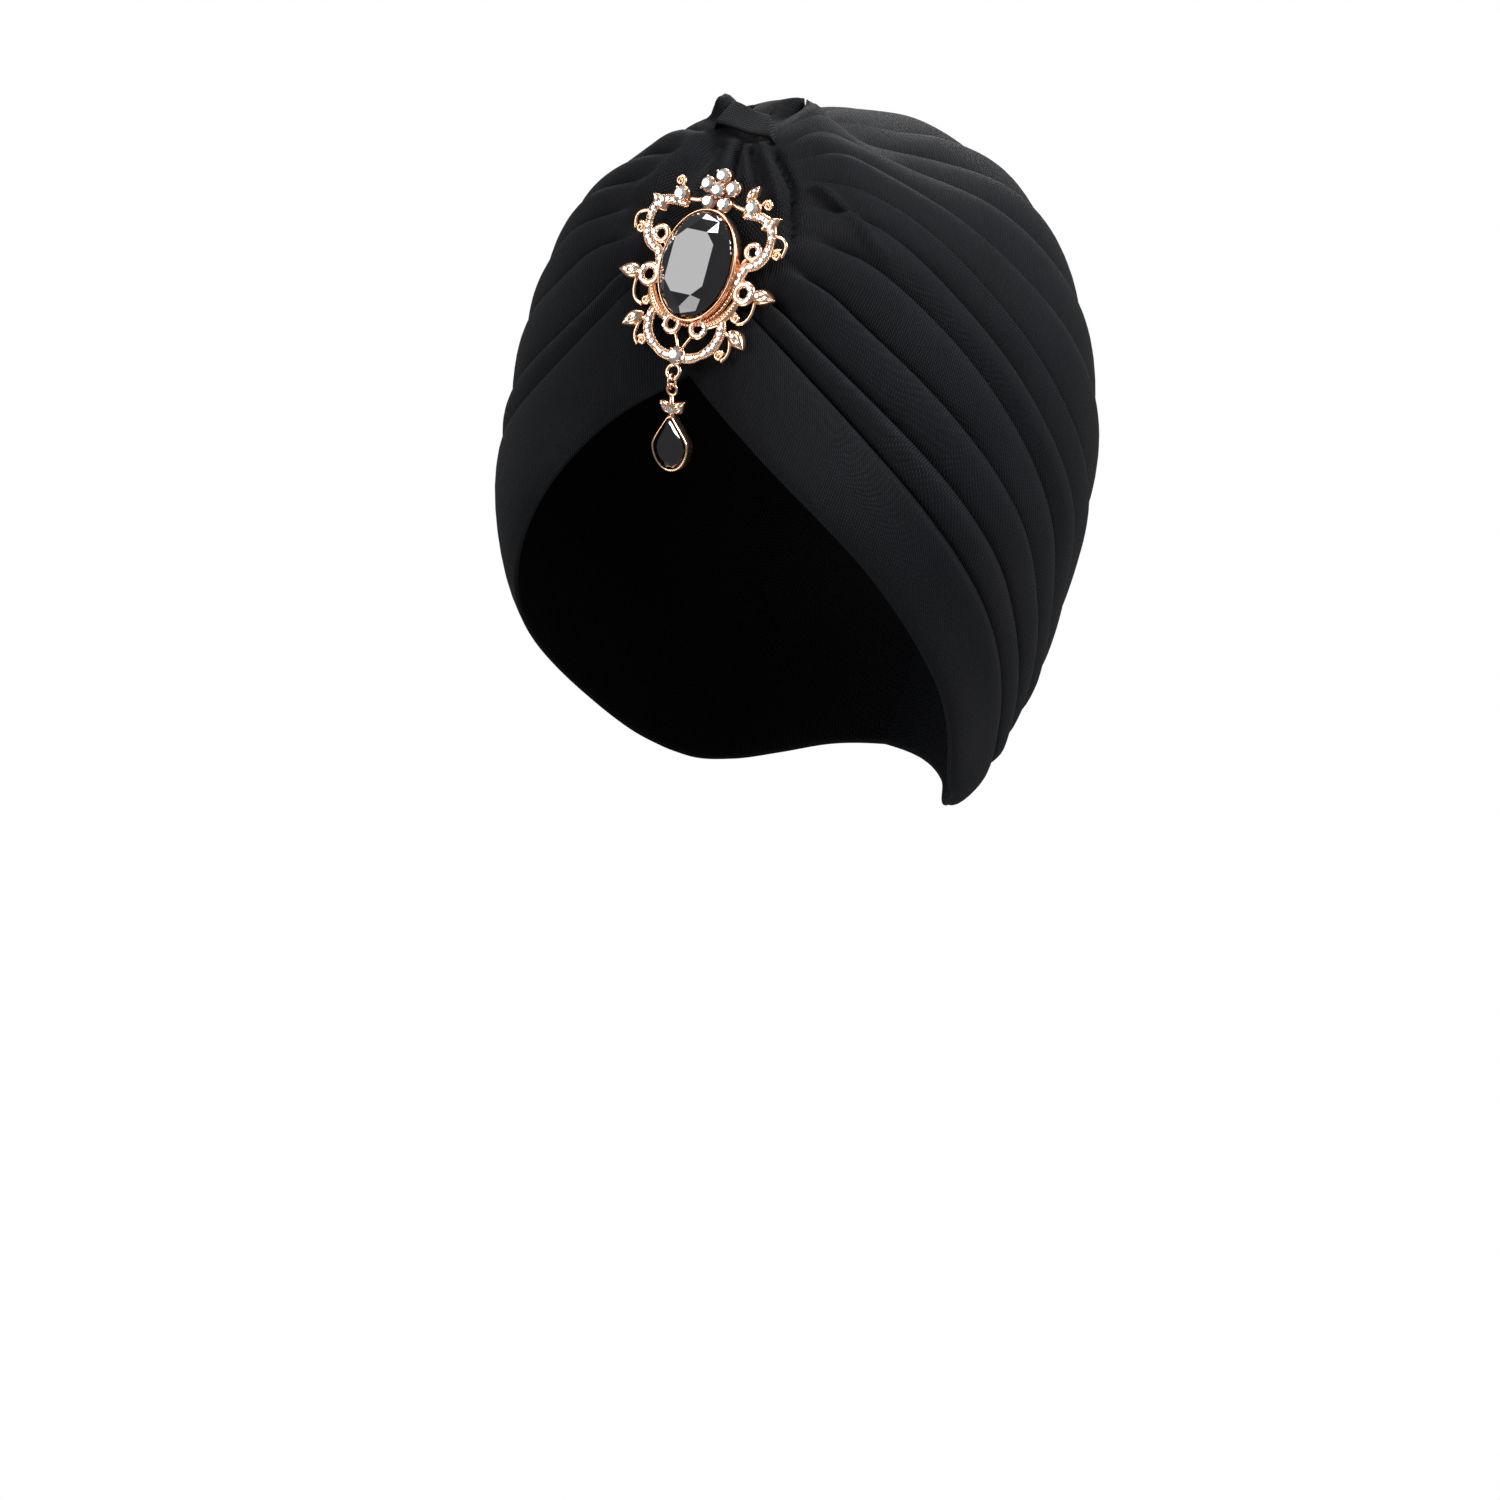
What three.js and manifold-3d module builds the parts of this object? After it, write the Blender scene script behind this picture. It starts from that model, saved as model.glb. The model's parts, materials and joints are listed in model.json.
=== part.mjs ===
// A pleated turban cap in its worn form, with a gather band and a jewelled brooch with a swinging drop.
// Millimetres, +Z up, the face towards -Y. The origin is where the top of a head touches the crown.
import * as THREE from "three";
import { mergeVertices } from "three/addons/utils/BufferGeometryUtils.js";
import Module from "manifold-3d";

const wasm = await Module();
wasm.setup();

const colours = {
  cloth: { color: 0x17181c, roughness: 0.82, metalness: 0 },
  gold: { color: 0xd9a27e, roughness: 0.28, metalness: 1 },
  jet: { color: 0x08080a, roughness: 0.06, metalness: 0 },
  crystal: { color: 0xe6ebf0, roughness: 0.05, metalness: 0 },
};

const part = new THREE.Group();

function place(parent, name, geometry, look, position = [0, 0, 0]) {
  const mesh = new THREE.Mesh(geometry, new THREE.MeshStandardMaterial(colours[look]));
  mesh.name = name;
  mesh.position.set(...position);
  parent.add(mesh);
  return mesh;
}

// Small maths shared by every piece

const radians = THREE.MathUtils.degToRad;
const clamp = THREE.MathUtils.clamp;

function smooth(edge0, edge1, x) {
  const t = clamp((x - edge0) / (edge1 - edge0), 0, 1);
  return t * t * (3 - 2 * t);
}

// Catmull-Rom through equally spaced values, x counted in steps; before is the value one step ahead of
// the first, or else the first step is drawn on
function spline(values, x, before = 2 * values[0] - values[1]) {
  const i = clamp(Math.floor(x), 0, values.length - 2);
  const t = x - i;
  const b = values[i];
  const c = values[i + 1];
  const a = i > 0 ? values[i - 1] : before;
  const d = i < values.length - 2 ? values[i + 2] : 2 * c - b;
  return b + 0.5 * t * (c - a + t * (2 * a - 5 * b + 4 * c - d + t * (3 * (b - c) + d - a)));
}

// The worn form: how far the cloth lies from the middle of the head, in mm, every 20 degrees down
// from the crown, towards the face, the side and the nape
const formCentre = new THREE.Vector3(0, 10, -86);
const formStep = 20;
const form = [
  { front: 88.5, side: 88.5, back: 88.5 },
  { front: 92.5, side: 83.0, back: 91.0 },
  { front: 82.5, side: 85.5, back: 91.0 },
  { front: 70.5, side: 82.5, back: 86.0 },
  { front: 71.5, side: 80.0, back: 80.5 },
  { front: 86.0, side: 80.5, back: 79.0 },
  { front: 102.5, side: 83.5, back: 84.0 },
  { front: 114.0, side: 96.0, back: 98.0 },
  { front: 125.0, side: 117.0, back: 113.0 },
];
const frontSquareness = 2.4;
const backSquareness = 2.0;

// Degrees from the crown down to the hem, every 20 degrees round from the face to the nape
const hemStep = 20;
const hem = {
  right: [66.5, 83, 101.5, 127, 149, 156.3, 160, 158.5, 157, 156],
  left: [66.5, 82, 114, 135, 149.5, 155.5, 157.5, 157.5, 156.5, 156],
};

// The line over the top runs from the band to the top of the back seam, in degrees from the crown
const ridgeFront = -21;
const ridgeBack = 100;
const spread = 1.5;

const clothBelow = 0.9;
const clothWall = 1.6;
const pleatHeight = 1.7;
const pleatOpensOver = 0.09;
const napeFrom = 0.82;
const flatAtNape = 0.5;
const fanHeight = 1.2;
const fanFolds = 2.5;
const fanOpensBy = 0.25;
const fanClosesFrom = 0.8;

// One row for each pleat edge, from the hem up: where along the cloth it leaves the gathered panel,
// and its height between the hem (0) and the line over the top (1) at six places from face to nape
const pleats = {
  right: [
    { start: 0.14, front: 0.43, temple: 0.375, side: 0.175, rear: 0.063, nape: 0.08, back: 0.156 },
    { start: 0.21, front: 0.51, temple: 0.465, side: 0.255, rear: 0.095, nape: 0.133, back: 0.24 },
    { start: 0.27, front: 0.63, temple: 0.605, side: 0.37, rear: 0.128, nape: 0.18, back: 0.32 },
    { start: 0.295, front: 0.685, temple: 0.64, side: 0.485, rear: 0.16, nape: 0.225, back: 0.4 },
    { start: 0.3, front: 0.73, temple: 0.685, side: 0.56, rear: 0.22, nape: 0.28, back: 0.5 },
    { start: 0.285, front: 0.775, temple: 0.725, side: 0.623, rear: 0.3, nape: 0.35, back: 0.6 },
    { start: 0.27, front: 0.81, temple: 0.755, side: 0.7, rear: 0.43, nape: 0.455, back: 0.7 },
    { start: 0.25, front: 0.85, temple: 0.79, side: 0.78, rear: 0.56, nape: 0.59, back: 0.79 },
    { start: 0.225, front: 0.895, temple: 0.855, side: 0.85, rear: 0.685, nape: 0.73, back: 0.87 },
    { start: 0.2, front: 0.94, temple: 0.92, side: 0.915, rear: 0.82, nape: 0.87, back: 0.94 },
  ],
  left: [
    { start: 0.14, front: 0.43, temple: 0.42, side: 0.265, rear: 0.09, nape: 0.09, back: 0.156 },
    { start: 0.21, front: 0.51, temple: 0.5, side: 0.335, rear: 0.13, nape: 0.14, back: 0.24 },
    { start: 0.27, front: 0.63, temple: 0.63, side: 0.455, rear: 0.17, nape: 0.19, back: 0.32 },
    { start: 0.295, front: 0.685, temple: 0.69, side: 0.54, rear: 0.21, nape: 0.24, back: 0.4 },
    { start: 0.3, front: 0.73, temple: 0.735, side: 0.61, rear: 0.26, nape: 0.3, back: 0.5 },
    { start: 0.285, front: 0.775, temple: 0.775, side: 0.67, rear: 0.33, nape: 0.37, back: 0.6 },
    { start: 0.27, front: 0.81, temple: 0.81, side: 0.74, rear: 0.43, nape: 0.475, back: 0.7 },
    { start: 0.25, front: 0.85, temple: 0.85, side: 0.81, rear: 0.55, nape: 0.6, back: 0.79 },
    { start: 0.225, front: 0.895, temple: 0.89, side: 0.87, rear: 0.7, nape: 0.74, back: 0.87 },
    { start: 0.2, front: 0.94, temple: 0.935, side: 0.93, rear: 0.85, nape: 0.875, back: 0.94 },
  ],
};
const hemRow = { start: 0.07, front: 0, temple: 0, side: 0, rear: 0, nape: 0, back: 0 };
const topRow = { start: 0.18, front: 1, temple: 1, side: 1, rear: 1, nape: 1, back: 1 };
const pleatColumns = ["front", "temple", "side", "rear", "nape", "back"];
const columnStep = 1 / (pleatColumns.length - 1);

function edgeRows(hand) {
  return [hemRow, ...pleats[hand], topRow];
}

function edgeHeight(row, along) {
  return spline(pleatColumns.map((name) => row[name]), along / columnStep);
}

function reach(direction) {
  const flat = Math.hypot(direction.x, direction.y) + 1e-12;
  const steps = THREE.MathUtils.radToDeg(Math.acos(clamp(direction.z, -1, 1))) / formStep;
  const facing = -direction.y / flat;
  const sideways = direction.x / flat;
  const [ahead, behind] = facing > 0 ? ["front", "back"] : ["back", "front"];
  const power = facing > 0 ? frontSquareness : backSquareness;
  const along = Math.abs(facing / spline(form.map((row) => row[ahead]), steps, form[1][behind]));
  const across = Math.abs(sideways / spline(form.map((row) => row.side), steps, form[1].side));
  return (along ** power + across ** power) ** (-1 / power);
}

// turn is degrees round from the face, down is degrees from the crown
function bearing(down, turn) {
  const [a, b] = [radians(down), radians(turn)];
  return new THREE.Vector3(Math.sin(a) * Math.sin(b), -Math.sin(a) * Math.cos(b), Math.cos(a));
}

function onForm(direction, lift) {
  return direction.clone().multiplyScalar(reach(direction) + lift).add(formCentre);
}

// along runs from the face (0) to the nape (1), up from the hem (0) to the line over the top (1)
function capPoint(hand, along, up, lift) {
  const side = hand === "right" ? 1 : -1;
  const gone = along ** spread;
  const low = bearing(spline(hem[hand], (180 * gone) / hemStep), side * 180 * gone);
  const overTop = ridgeFront + (ridgeBack - ridgeFront) * gone;
  const high = bearing(Math.abs(overTop), overTop < 0 ? 0 : 180);
  const angle = low.angleTo(high);
  low.multiplyScalar(Math.sin((1 - up) * angle)).addScaledVector(high, Math.sin(up * angle));
  const point = onForm(low.normalize(), lift);
  if (along === 0 || along === 1 || up === 1) point.x = 0;
  return point;
}

// Height of the cloth above the form: each pleat climbs to its folded edge, then drops to the next one,
// and the panel under the band gathers into folds that fan out from it
function relief(along, up, start, climb) {
  const leaving = smooth(start, start + pleatOpensOver, along);
  const pleat = pleatHeight * (1 - flatAtNape * smooth(napeFrom, 1, along));
  const fold = 0.5 + 0.5 * Math.cos((2 * Math.PI * fanFolds * Math.min(along, start)) / start);
  const fan = fanHeight * smooth(0, fanOpensBy, up) * (1 - smooth(fanClosesFrom, 1, up));
  return pleat * climb * leaving + fan * fold * (1 - leaving);
}

const panelColumns = 7;
const sideColumns = 24;
const climbs = [
  { across: 0, climb: 0 },
  { across: 0.45, climb: 0.62 },
  { across: 0.88, climb: 1 },
];
const liningRows = 12;

function columnAlong(column, start) {
  if (column <= panelColumns) return (start * column) / panelColumns;
  if (column === panelColumns + sideColumns) return 1;
  return start + ((1 - start) * (column - panelColumns)) / sideColumns;
}

function outerRow(hand, strip, { across, climb }) {
  const [lower, upper] = edgeRows(hand).slice(strip, strip + 2);
  const start = lower.start + (upper.start - lower.start) * across;
  const points = [];
  for (let column = 0; column <= panelColumns + sideColumns; column++) {
    const along = columnAlong(column, start);
    const [from, to] = [edgeHeight(lower, along), edgeHeight(upper, along)];
    const up = from + (to - from) * across;
    points.push(capPoint(hand, along, up, relief(along, up, start, climb) - clothBelow));
  }
  return points;
}

function capGrids(hand) {
  const outer = [];
  const strips = pleats[hand].length + 1;
  for (let strip = 0; strip < strips; strip++) {
    for (const step of climbs) outer.push(outerRow(hand, strip, step));
  }
  outer.push(outerRow(hand, strips - 1, { across: 1, climb: 0 }));
  const inner = [];
  for (let row = 0; row <= liningRows; row++) {
    const points = [];
    for (let column = 0; column <= panelColumns + sideColumns; column++) {
      const along = columnAlong(column, hemRow.start);
      points.push(capPoint(hand, along, row / liningRows, -clothBelow - clothWall));
    }
    inner.push(points);
  }
  return { outer, inner };
}

// Two triangles for each cell of a grid of points, its faces turned when flip is set
function addGrid(corners, rows, flip) {
  for (let r = 0; r + 1 < rows.length; r++) {
    for (let c = 0; c + 1 < rows[r].length; c++) {
      const [a, b] = [rows[r][c], rows[r][c + 1]];
      const [d, e] = [rows[r + 1][c], rows[r + 1][c + 1]];
      corners.push(...(flip ? [a, d, b, b, d, e] : [a, b, d, b, e, d]));
    }
  }
}

function closedMesh(corners) {
  const soup = new THREE.BufferGeometry().setFromPoints(corners);
  return mergeVertices(soup, 1e-4);
}

function capShell() {
  const corners = [];
  for (const hand of ["right", "left"]) {
    const flip = hand === "left";
    const { outer, inner } = capGrids(hand);
    addGrid(corners, outer, flip);
    addGrid(corners, inner, !flip);
    addGrid(corners, [inner[0], outer[0]], flip);
  }
  return closedMesh(corners);
}

place(part, "cap_shell", capShell(), "cloth");

// The gather band: a strap laid over the top of the front panel. Each corner is degrees forward from
// the crown, degrees to the wearer's left and mm off the form
const band = {
  left: { back: { down: 11.8, aside: -6.7, lift: 0.6 }, front: { down: 17.2, aside: -7.2, lift: 0.5 } },
  right: { back: { down: 13.8, aside: 1.4, lift: 0.6 }, front: { down: 20.5, aside: 6, lift: 0.7 } },
};
const bandThick = 1.3;
const bandSteps = { across: 8, along: 3 };

function bandPoint(across, along, lift) {
  const mixed = (key) => {
    const { lerp } = THREE.MathUtils;
    const back = lerp(band.left.back[key], band.right.back[key], across);
    return lerp(back, lerp(band.left.front[key], band.right.front[key], across), along);
  };
  const [a, b] = [radians(mixed("down")), radians(mixed("aside"))];
  const direction = new THREE.Vector3(Math.sin(b), -Math.cos(b) * Math.sin(a), Math.cos(b) * Math.cos(a));
  return onForm(direction, mixed("lift") + lift);
}

function bandGrid(lift) {
  const { across, along } = bandSteps;
  const row = (i) => Array.from({ length: across + 1 }, (_, j) => bandPoint(j / across, i / along, lift));
  return Array.from({ length: along + 1 }, (_, i) => row(i));
}

// Walls between the edges of two grids of the same size close them into one slab
function slab(top, bottom) {
  const corners = [];
  const last = top.length - 1;
  const end = top[0].length - 1;
  const column = (rows, c) => rows.map((row) => row[c]);
  addGrid(corners, top, true);
  addGrid(corners, bottom, false);
  addGrid(corners, [top[0], bottom[0]], false);
  addGrid(corners, [top[last], bottom[last]], true);
  addGrid(corners, [column(top, 0), column(bottom, 0)], true);
  addGrid(corners, [column(top, end), column(bottom, end)], false);
  return closedMesh(corners);
}

place(part, "front_band", slab(bandGrid(bandThick), bandGrid(0)), "cloth");

// Joining solids
function solid(geometry) {
  const bare = geometry.clone();
  bare.deleteAttribute("normal");
  bare.deleteAttribute("uv");
  const welded = mergeVertices(bare, 1e-5);
  const index = welded.index.array;
  const mesh = { numProp: 3, vertProperties: new Float32Array(welded.attributes.position.array) };
  return new wasm.Manifold(new wasm.Mesh({ ...mesh, triVerts: new Uint32Array(index) }));
}

function joined(geometries) {
  const whole = geometries.map(solid).reduce((sum, next) => sum.add(next)).getMesh();
  const geometry = new THREE.BufferGeometry();
  geometry.setAttribute("position", new THREE.BufferAttribute(whole.vertProperties, whole.numProp));
  geometry.setIndex(new THREE.BufferAttribute(whole.triVerts, 1));
  return geometry;
}

// The brooch lies in its own plane: x to the wearer's left, y up, z out from the cloth
const broochPlace = { x: 1.3, y: -46.9, z: -30.1, lean: 21.5, roll: 4.5 };
const brooch = new THREE.Group();
brooch.position.set(broochPlace.x, broochPlace.y, broochPlace.z);
brooch.rotation.set(radians(90 - broochPlace.lean), 0, radians(-broochPlace.roll), "XYZ");
part.add(brooch);

const wireDepth = 1.3;
const paveDepth = 1.9;
const cupDepth = 4;
const cupFloor = 0.8;
const stoneGap = 0.3;
const centreStone = { halfWidth: 11, halfHeight: 15, tableWidth: 7.2, tableHeight: 9.3, sides: 16 };
const cupWall = 0.8;
const cupSides = 12;

function extruded(shape, depth, curveSegments = 6) {
  return new THREE.ExtrudeGeometry(shape, { depth, bevelEnabled: false, curveSegments });
}

function oval(x, y, halfWidth, halfHeight, depth, sides, hole = null) {
  const shape = new THREE.Shape();
  shape.absellipse(x, y, halfWidth, halfHeight, 0, 2 * Math.PI, false, 0);
  if (hole) {
    const path = new THREE.Path();
    path.absellipse(x, y, hole.halfWidth, hole.halfHeight, 0, 2 * Math.PI, true, 0);
    shape.holes.push(path);
  }
  return extruded(shape, depth, sides);
}

function eyelet({ x, y, outer, hole }, depth, sides = 6) {
  return oval(x, y, outer, outer, depth, sides, hole ? { halfWidth: hole, halfHeight: hole } : null);
}

// A bar of even width along a quadratic curve
const strokeSteps = 5;
function stroke({ from, bend, to, width }, depth) {
  const curve = new THREE.QuadraticBezierCurve(
    new THREE.Vector2(...from),
    new THREE.Vector2(...bend),
    new THREE.Vector2(...to),
  );
  const edges = { near: [], far: [] };
  for (let i = 0; i <= strokeSteps; i++) {
    const point = curve.getPoint(i / strokeSteps);
    const tangent = curve.getTangent(i / strokeSteps);
    const across = new THREE.Vector2(-tangent.y, tangent.x).multiplyScalar(width / 2);
    edges.near.push(point.clone().sub(across));
    edges.far.unshift(point.clone().add(across));
  }
  return extruded(new THREE.Shape([...edges.near, ...edges.far]), depth);
}

// A pointed leaf whose tip looks along angle degrees
function leaf({ x, y, angle, length, width }, depth) {
  const shape = new THREE.Shape();
  shape.moveTo(-length / 2, 0);
  shape.quadraticCurveTo(0, -width * 0.95, length / 2, 0);
  shape.quadraticCurveTo(0, width * 0.95, -length / 2, 0);
  const geometry = extruded(shape, depth, 3);
  geometry.rotateZ(radians(angle));
  geometry.translate(x, y, 0);
  return geometry;
}

const flower = { x: 0, y: 21.5, plate: 3.4, petals: 5, ring: 4.3 };
const heartSeat = { outer: 2, depth: 2.8 };
const petalSeat = { outer: 2.3, depth: 2.2 };

// Each row is built on both sides of the brooch, x mirrored
const paveScrolls = [
  { from: [9, 16.2], bend: [20.5, 18.8], to: [20, 9.5], width: 2.5 },
  { from: [20, 10], bend: [20.2, 3.8], to: [14.6, 2.2], width: 2.5 },
  { from: [15.4, 3], bend: [12.2, 0], to: [13.2, -4.5], width: 2.6 },
  { from: [14.2, -7], bend: [12.8, -13], to: [6.8, -15.9], width: 2.5 },
  { from: [11.2, -13.6], bend: [13.4, -21], to: [7, -24.4], width: 2.7 },
  { from: [7.4, -24.2], bend: [4, -26.6], to: [0, -25.6], width: 2.3 },
];
const wireScrolls = [
  { from: [3.6, 19.2], bend: [8.4, 17], to: [12, 18.6], width: 1.3 },
  { from: [20, 12.4], bend: [26.4, 12.8], to: [24.2, 7], width: 1.1 },
  { from: [19.6, -6.5], bend: [20.2, -13], to: [15.6, -13.6], width: 1.1 },
  { from: [10.8, -15], bend: [13, -17.6], to: [15.4, -17], width: 1.5 },
  { from: [14.6, -17.8], bend: [16.8, -22.4], to: [13.8, -24.6], width: 1.1 },
  { from: [3, -19], bend: [1.2, -22], to: [0, -25], width: 1.1 },
];
const eyelets = [
  { x: 15.2, y: 6.8, outer: 3, hole: 1.2 },
  { x: 15.6, y: -4.9, outer: 3.7, hole: 1.4 },
  { x: 4.3, y: -17.1, outer: 3.2, hole: 1.3 },
  { x: 22.6, y: 7.4, outer: 2.1, hole: 1 },
  { x: 14.9, y: -12, outer: 2, hole: 0.9 },
  { x: 12.8, y: -23.2, outer: 2, hole: 0.9 },
];
const leaves = [
  { x: 18.4, y: 15.4, angle: 38, length: 7, width: 4.4 },
  { x: 21.9, y: -4.9, angle: -4, length: 8, width: 5 },
  { x: 17.2, y: -17.9, angle: -38, length: 7.6, width: 4.8 },
];
const sideStone = { x: 11.8, y: 18.6, cup: 2.6 };
const footStone = { x: 0, y: -25.6, cup: 2.7 };

// These stand on one side only
const topLeaf = { x: 10.4, y: 22.6, angle: 62, length: 6, width: 3.6 };
const topCurls = [
  { x: 15.7, y: 20.3, outer: 2.1, hole: 1 },
  { x: -13.8, y: 22.4, outer: 2.1, hole: 1 },
];

const ring = { y: -30.1, radius: 2, wire: 0.6, sides: 12, wireSides: 6 };

function mirrored(rows) {
  const turned = (p) => (Array.isArray(p) ? [-p[0], p[1]] : p);
  const flipped = (row) => ({
    ...row,
    x: row.x === undefined ? undefined : -row.x,
    angle: row.angle === undefined ? undefined : 180 - row.angle,
    from: turned(row.from),
    bend: turned(row.bend),
    to: turned(row.to),
  });
  return [...rows, ...rows.map(flipped)];
}

function flowerPlaces() {
  const places = [{ x: flower.x, y: flower.y, ...heartSeat }];
  for (let i = 0; i < flower.petals; i++) {
    const angle = Math.PI / 2 + (2 * Math.PI * i) / flower.petals;
    const [x, y] = [flower.ring * Math.cos(angle), flower.ring * Math.sin(angle)];
    places.push({ x: flower.x + x, y: flower.y + y, ...petalSeat });
  }
  return places;
}

function stoneCup() {
  const { halfWidth, halfHeight } = centreStone;
  const inner = { halfWidth: halfWidth + stoneGap, halfHeight: halfHeight + stoneGap };
  const [w, h] = [inner.halfWidth + cupWall, inner.halfHeight + cupWall];
  return [oval(0, 0, w, h, cupFloor, cupSides), oval(0, 0, w, h, cupDepth, cupSides, inner)];
}

function castRing() {
  const geometry = new THREE.TorusGeometry(ring.radius, ring.wire, ring.wireSides, ring.sides);
  geometry.translate(0, ring.y, paveDepth / 2);
  return geometry;
}

function broochFrame() {
  return joined([
    ...stoneCup(),
    ...mirrored(paveScrolls).map((row) => stroke(row, paveDepth)),
    ...mirrored(wireScrolls).map((row) => stroke(row, wireDepth)),
    ...mirrored(eyelets).map((row) => eyelet(row, paveDepth)),
    ...mirrored(leaves).map((row) => leaf(row, paveDepth)),
    ...mirrored([sideStone]).map(({ x, y, cup }) => eyelet({ x, y, outer: cup }, petalSeat.depth)),
    eyelet({ x: flower.x, y: flower.y, outer: flower.plate }, wireDepth),
    ...flowerPlaces().map(({ x, y, outer, depth }) => eyelet({ x, y, outer }, depth, 5)),
    eyelet({ x: footStone.x, y: footStone.y, outer: footStone.cup }, petalSeat.depth),
    leaf(topLeaf, paveDepth),
    ...topCurls.map((row) => eyelet(row, wireDepth)),
    castRing(),
  ]);
}

place(brooch, "brooch_frame", broochFrame(), "gold");

// A cut stone: rings of points from the flat back, over the girdle, up to the table
function cutStone(rings, sides) {
  const corners = [];
  const at = (row, i) => {
    const angle = (2 * Math.PI * (i + row.turn)) / sides;
    const corner = new THREE.Vector2(Math.cos(angle), Math.sin(angle));
    return new THREE.Vector3(row.halfWidth * corner.x, row.halfHeight * corner.y, row.z);
  };
  const ringPoints = rings.map((row) => Array.from({ length: sides + 1 }, (_, i) => at(row, i % sides)));
  addGrid(corners, ringPoints, false);
  const cap = (points, z, up) => {
    const middle = new THREE.Vector3(0, 0, z);
    for (let i = 0; i < sides; i++) {
      corners.push(...(up ? [middle, points[i], points[i + 1]] : [middle, points[i + 1], points[i]]));
    }
  };
  cap(ringPoints[0], rings[0].z, false);
  cap(ringPoints.at(-1), rings.at(-1).z, true);
  return closedMesh(corners);
}

function ovalStone() {
  const { halfWidth, halfHeight, tableWidth, tableHeight, sides } = centreStone;
  const size = (share) => ({ halfWidth: halfWidth * share, halfHeight: halfHeight * share });
  return cutStone(
    [
      { ...size(0.72), z: cupFloor + stoneGap, turn: 0.5 },
      { ...size(1), z: 3.5, turn: 0.5 },
      { ...size(1), z: 4.3, turn: 0.5 },
      { ...size(0.86), z: 6.6, turn: 0.5 },
      { halfWidth: tableWidth, halfHeight: tableHeight, z: 8.2, turn: 0.5 },
    ],
    sides,
  );
}

const round = { radius: 2, table: 1.15, back: 1.5, girdle: 0.35, high: 1.3, sides: 10 };

function roundStone() {
  const size = (r) => ({ halfWidth: r, halfHeight: r, turn: 0 });
  return cutStone(
    [
      { ...size(round.back), z: 0 },
      { ...size(round.radius), z: round.girdle },
      { ...size(round.table), z: round.high },
    ],
    round.sides,
  );
}

place(brooch, "centre_stone", ovalStone(), "jet");
flowerPlaces().forEach(({ x, y, depth }, i) => {
  const name = i === 0 ? "flower_heart_stone" : `flower_petal_stone_${i}`;
  place(brooch, name, roundStone(), "crystal", [x, y, depth + stoneGap]);
});
const highSeat = petalSeat.depth + stoneGap;
place(brooch, "side_stone_left", roundStone(), "crystal", [sideStone.x, sideStone.y, highSeat]);
place(brooch, "side_stone_right", roundStone(), "crystal", [-sideStone.x, sideStone.y, highSeat]);
place(brooch, "foot_stone", roundStone(), "crystal", [footStone.x, footStone.y, highSeat]);

// The drop hangs from the lowest point of the brooch's ring, and swings about the wire there
brooch.updateMatrixWorld(true);
const ringCentre = brooch.localToWorld(new THREE.Vector3(0, ring.y, paveDepth / 2));
const leanAngle = radians(broochPlace.lean);
const drop = new THREE.Group();
drop.position.set(
  ringCentre.x,
  ringCentre.y - ring.radius * Math.sin(leanAngle),
  ringCentre.z - ring.radius * Math.cos(leanAngle),
);
part.add(drop);

const link = { radius: 2, wire: 0.42 };
const eye = { radius: 1.5, wire: 0.45 };
const linkTop = ring.wire + stoneGap + link.wire;
const linkCentre = linkTop - link.radius;
const eyeTop = linkCentre - link.radius + link.wire + stoneGap + eye.wire;
const eyeCentre = eyeTop - eye.radius;
const pear = { top: -10.2, bottom: -26, halfWidth: 6, pinch: 0.55, sides: 20 };
const pearCup = { depth: 3.4, wall: 0.75, floor: 0.8 };
const dropLeaves = [
  { x: 1.9, y: -8, angle: 38, length: 5.4, width: 3.6 },
  { x: -1.9, y: -8, angle: 142, length: 5.4, width: 3.6 },
];
const leafDepth = 1.6;

function dropLink() {
  const geometry = new THREE.TorusGeometry(link.radius, link.wire, 5, 12);
  geometry.rotateY(Math.PI / 2);
  geometry.translate(0, 0, linkCentre);
  return geometry;
}

// The pear outline narrows towards its top
function pearOutline(inset, sides) {
  const middle = (pear.top + pear.bottom) / 2;
  const halfHeight = (pear.top - pear.bottom) / 2 - inset;
  const points = [];
  for (let i = 0; i < sides; i++) {
    const angle = (2 * Math.PI * (i + 0.5)) / sides;
    const rise = Math.sin(angle);
    const narrow = 1 - pear.pinch * smooth(-0.2, 1, rise);
    const aside = (pear.halfWidth - inset) * Math.cos(angle) * narrow;
    points.push(new THREE.Vector2(aside, middle + halfHeight * rise));
  }
  return points;
}

function dropFrame() {
  const upright = (geometry, y) => geometry.rotateX(Math.PI / 2).translate(0, y, 0);
  const outline = new THREE.Shape(pearOutline(0, pear.sides));
  const cup = new THREE.Shape(pearOutline(0, pear.sides));
  cup.holes.push(new THREE.Path(pearOutline(pearCup.wall, pear.sides).reverse()));
  const loop = new THREE.TorusGeometry(eye.radius, eye.wire, 5, 12);
  loop.rotateX(Math.PI / 2).translate(0, 0, eyeCentre);
  const stemTop = eyeCentre - eye.radius + 0.1;
  const stem = stroke({ from: [0, stemTop], bend: [0, -8], to: [0, pear.top - 1], width: 1.4 }, leafDepth);
  return joined([
    upright(extruded(outline, pearCup.floor), pearCup.depth / 2),
    upright(extruded(cup, pearCup.depth), pearCup.depth / 2),
    upright(stem, leafDepth / 2),
    ...dropLeaves.map((row) => upright(leaf(row, leafDepth), leafDepth / 2)),
    loop,
  ]);
}

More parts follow.
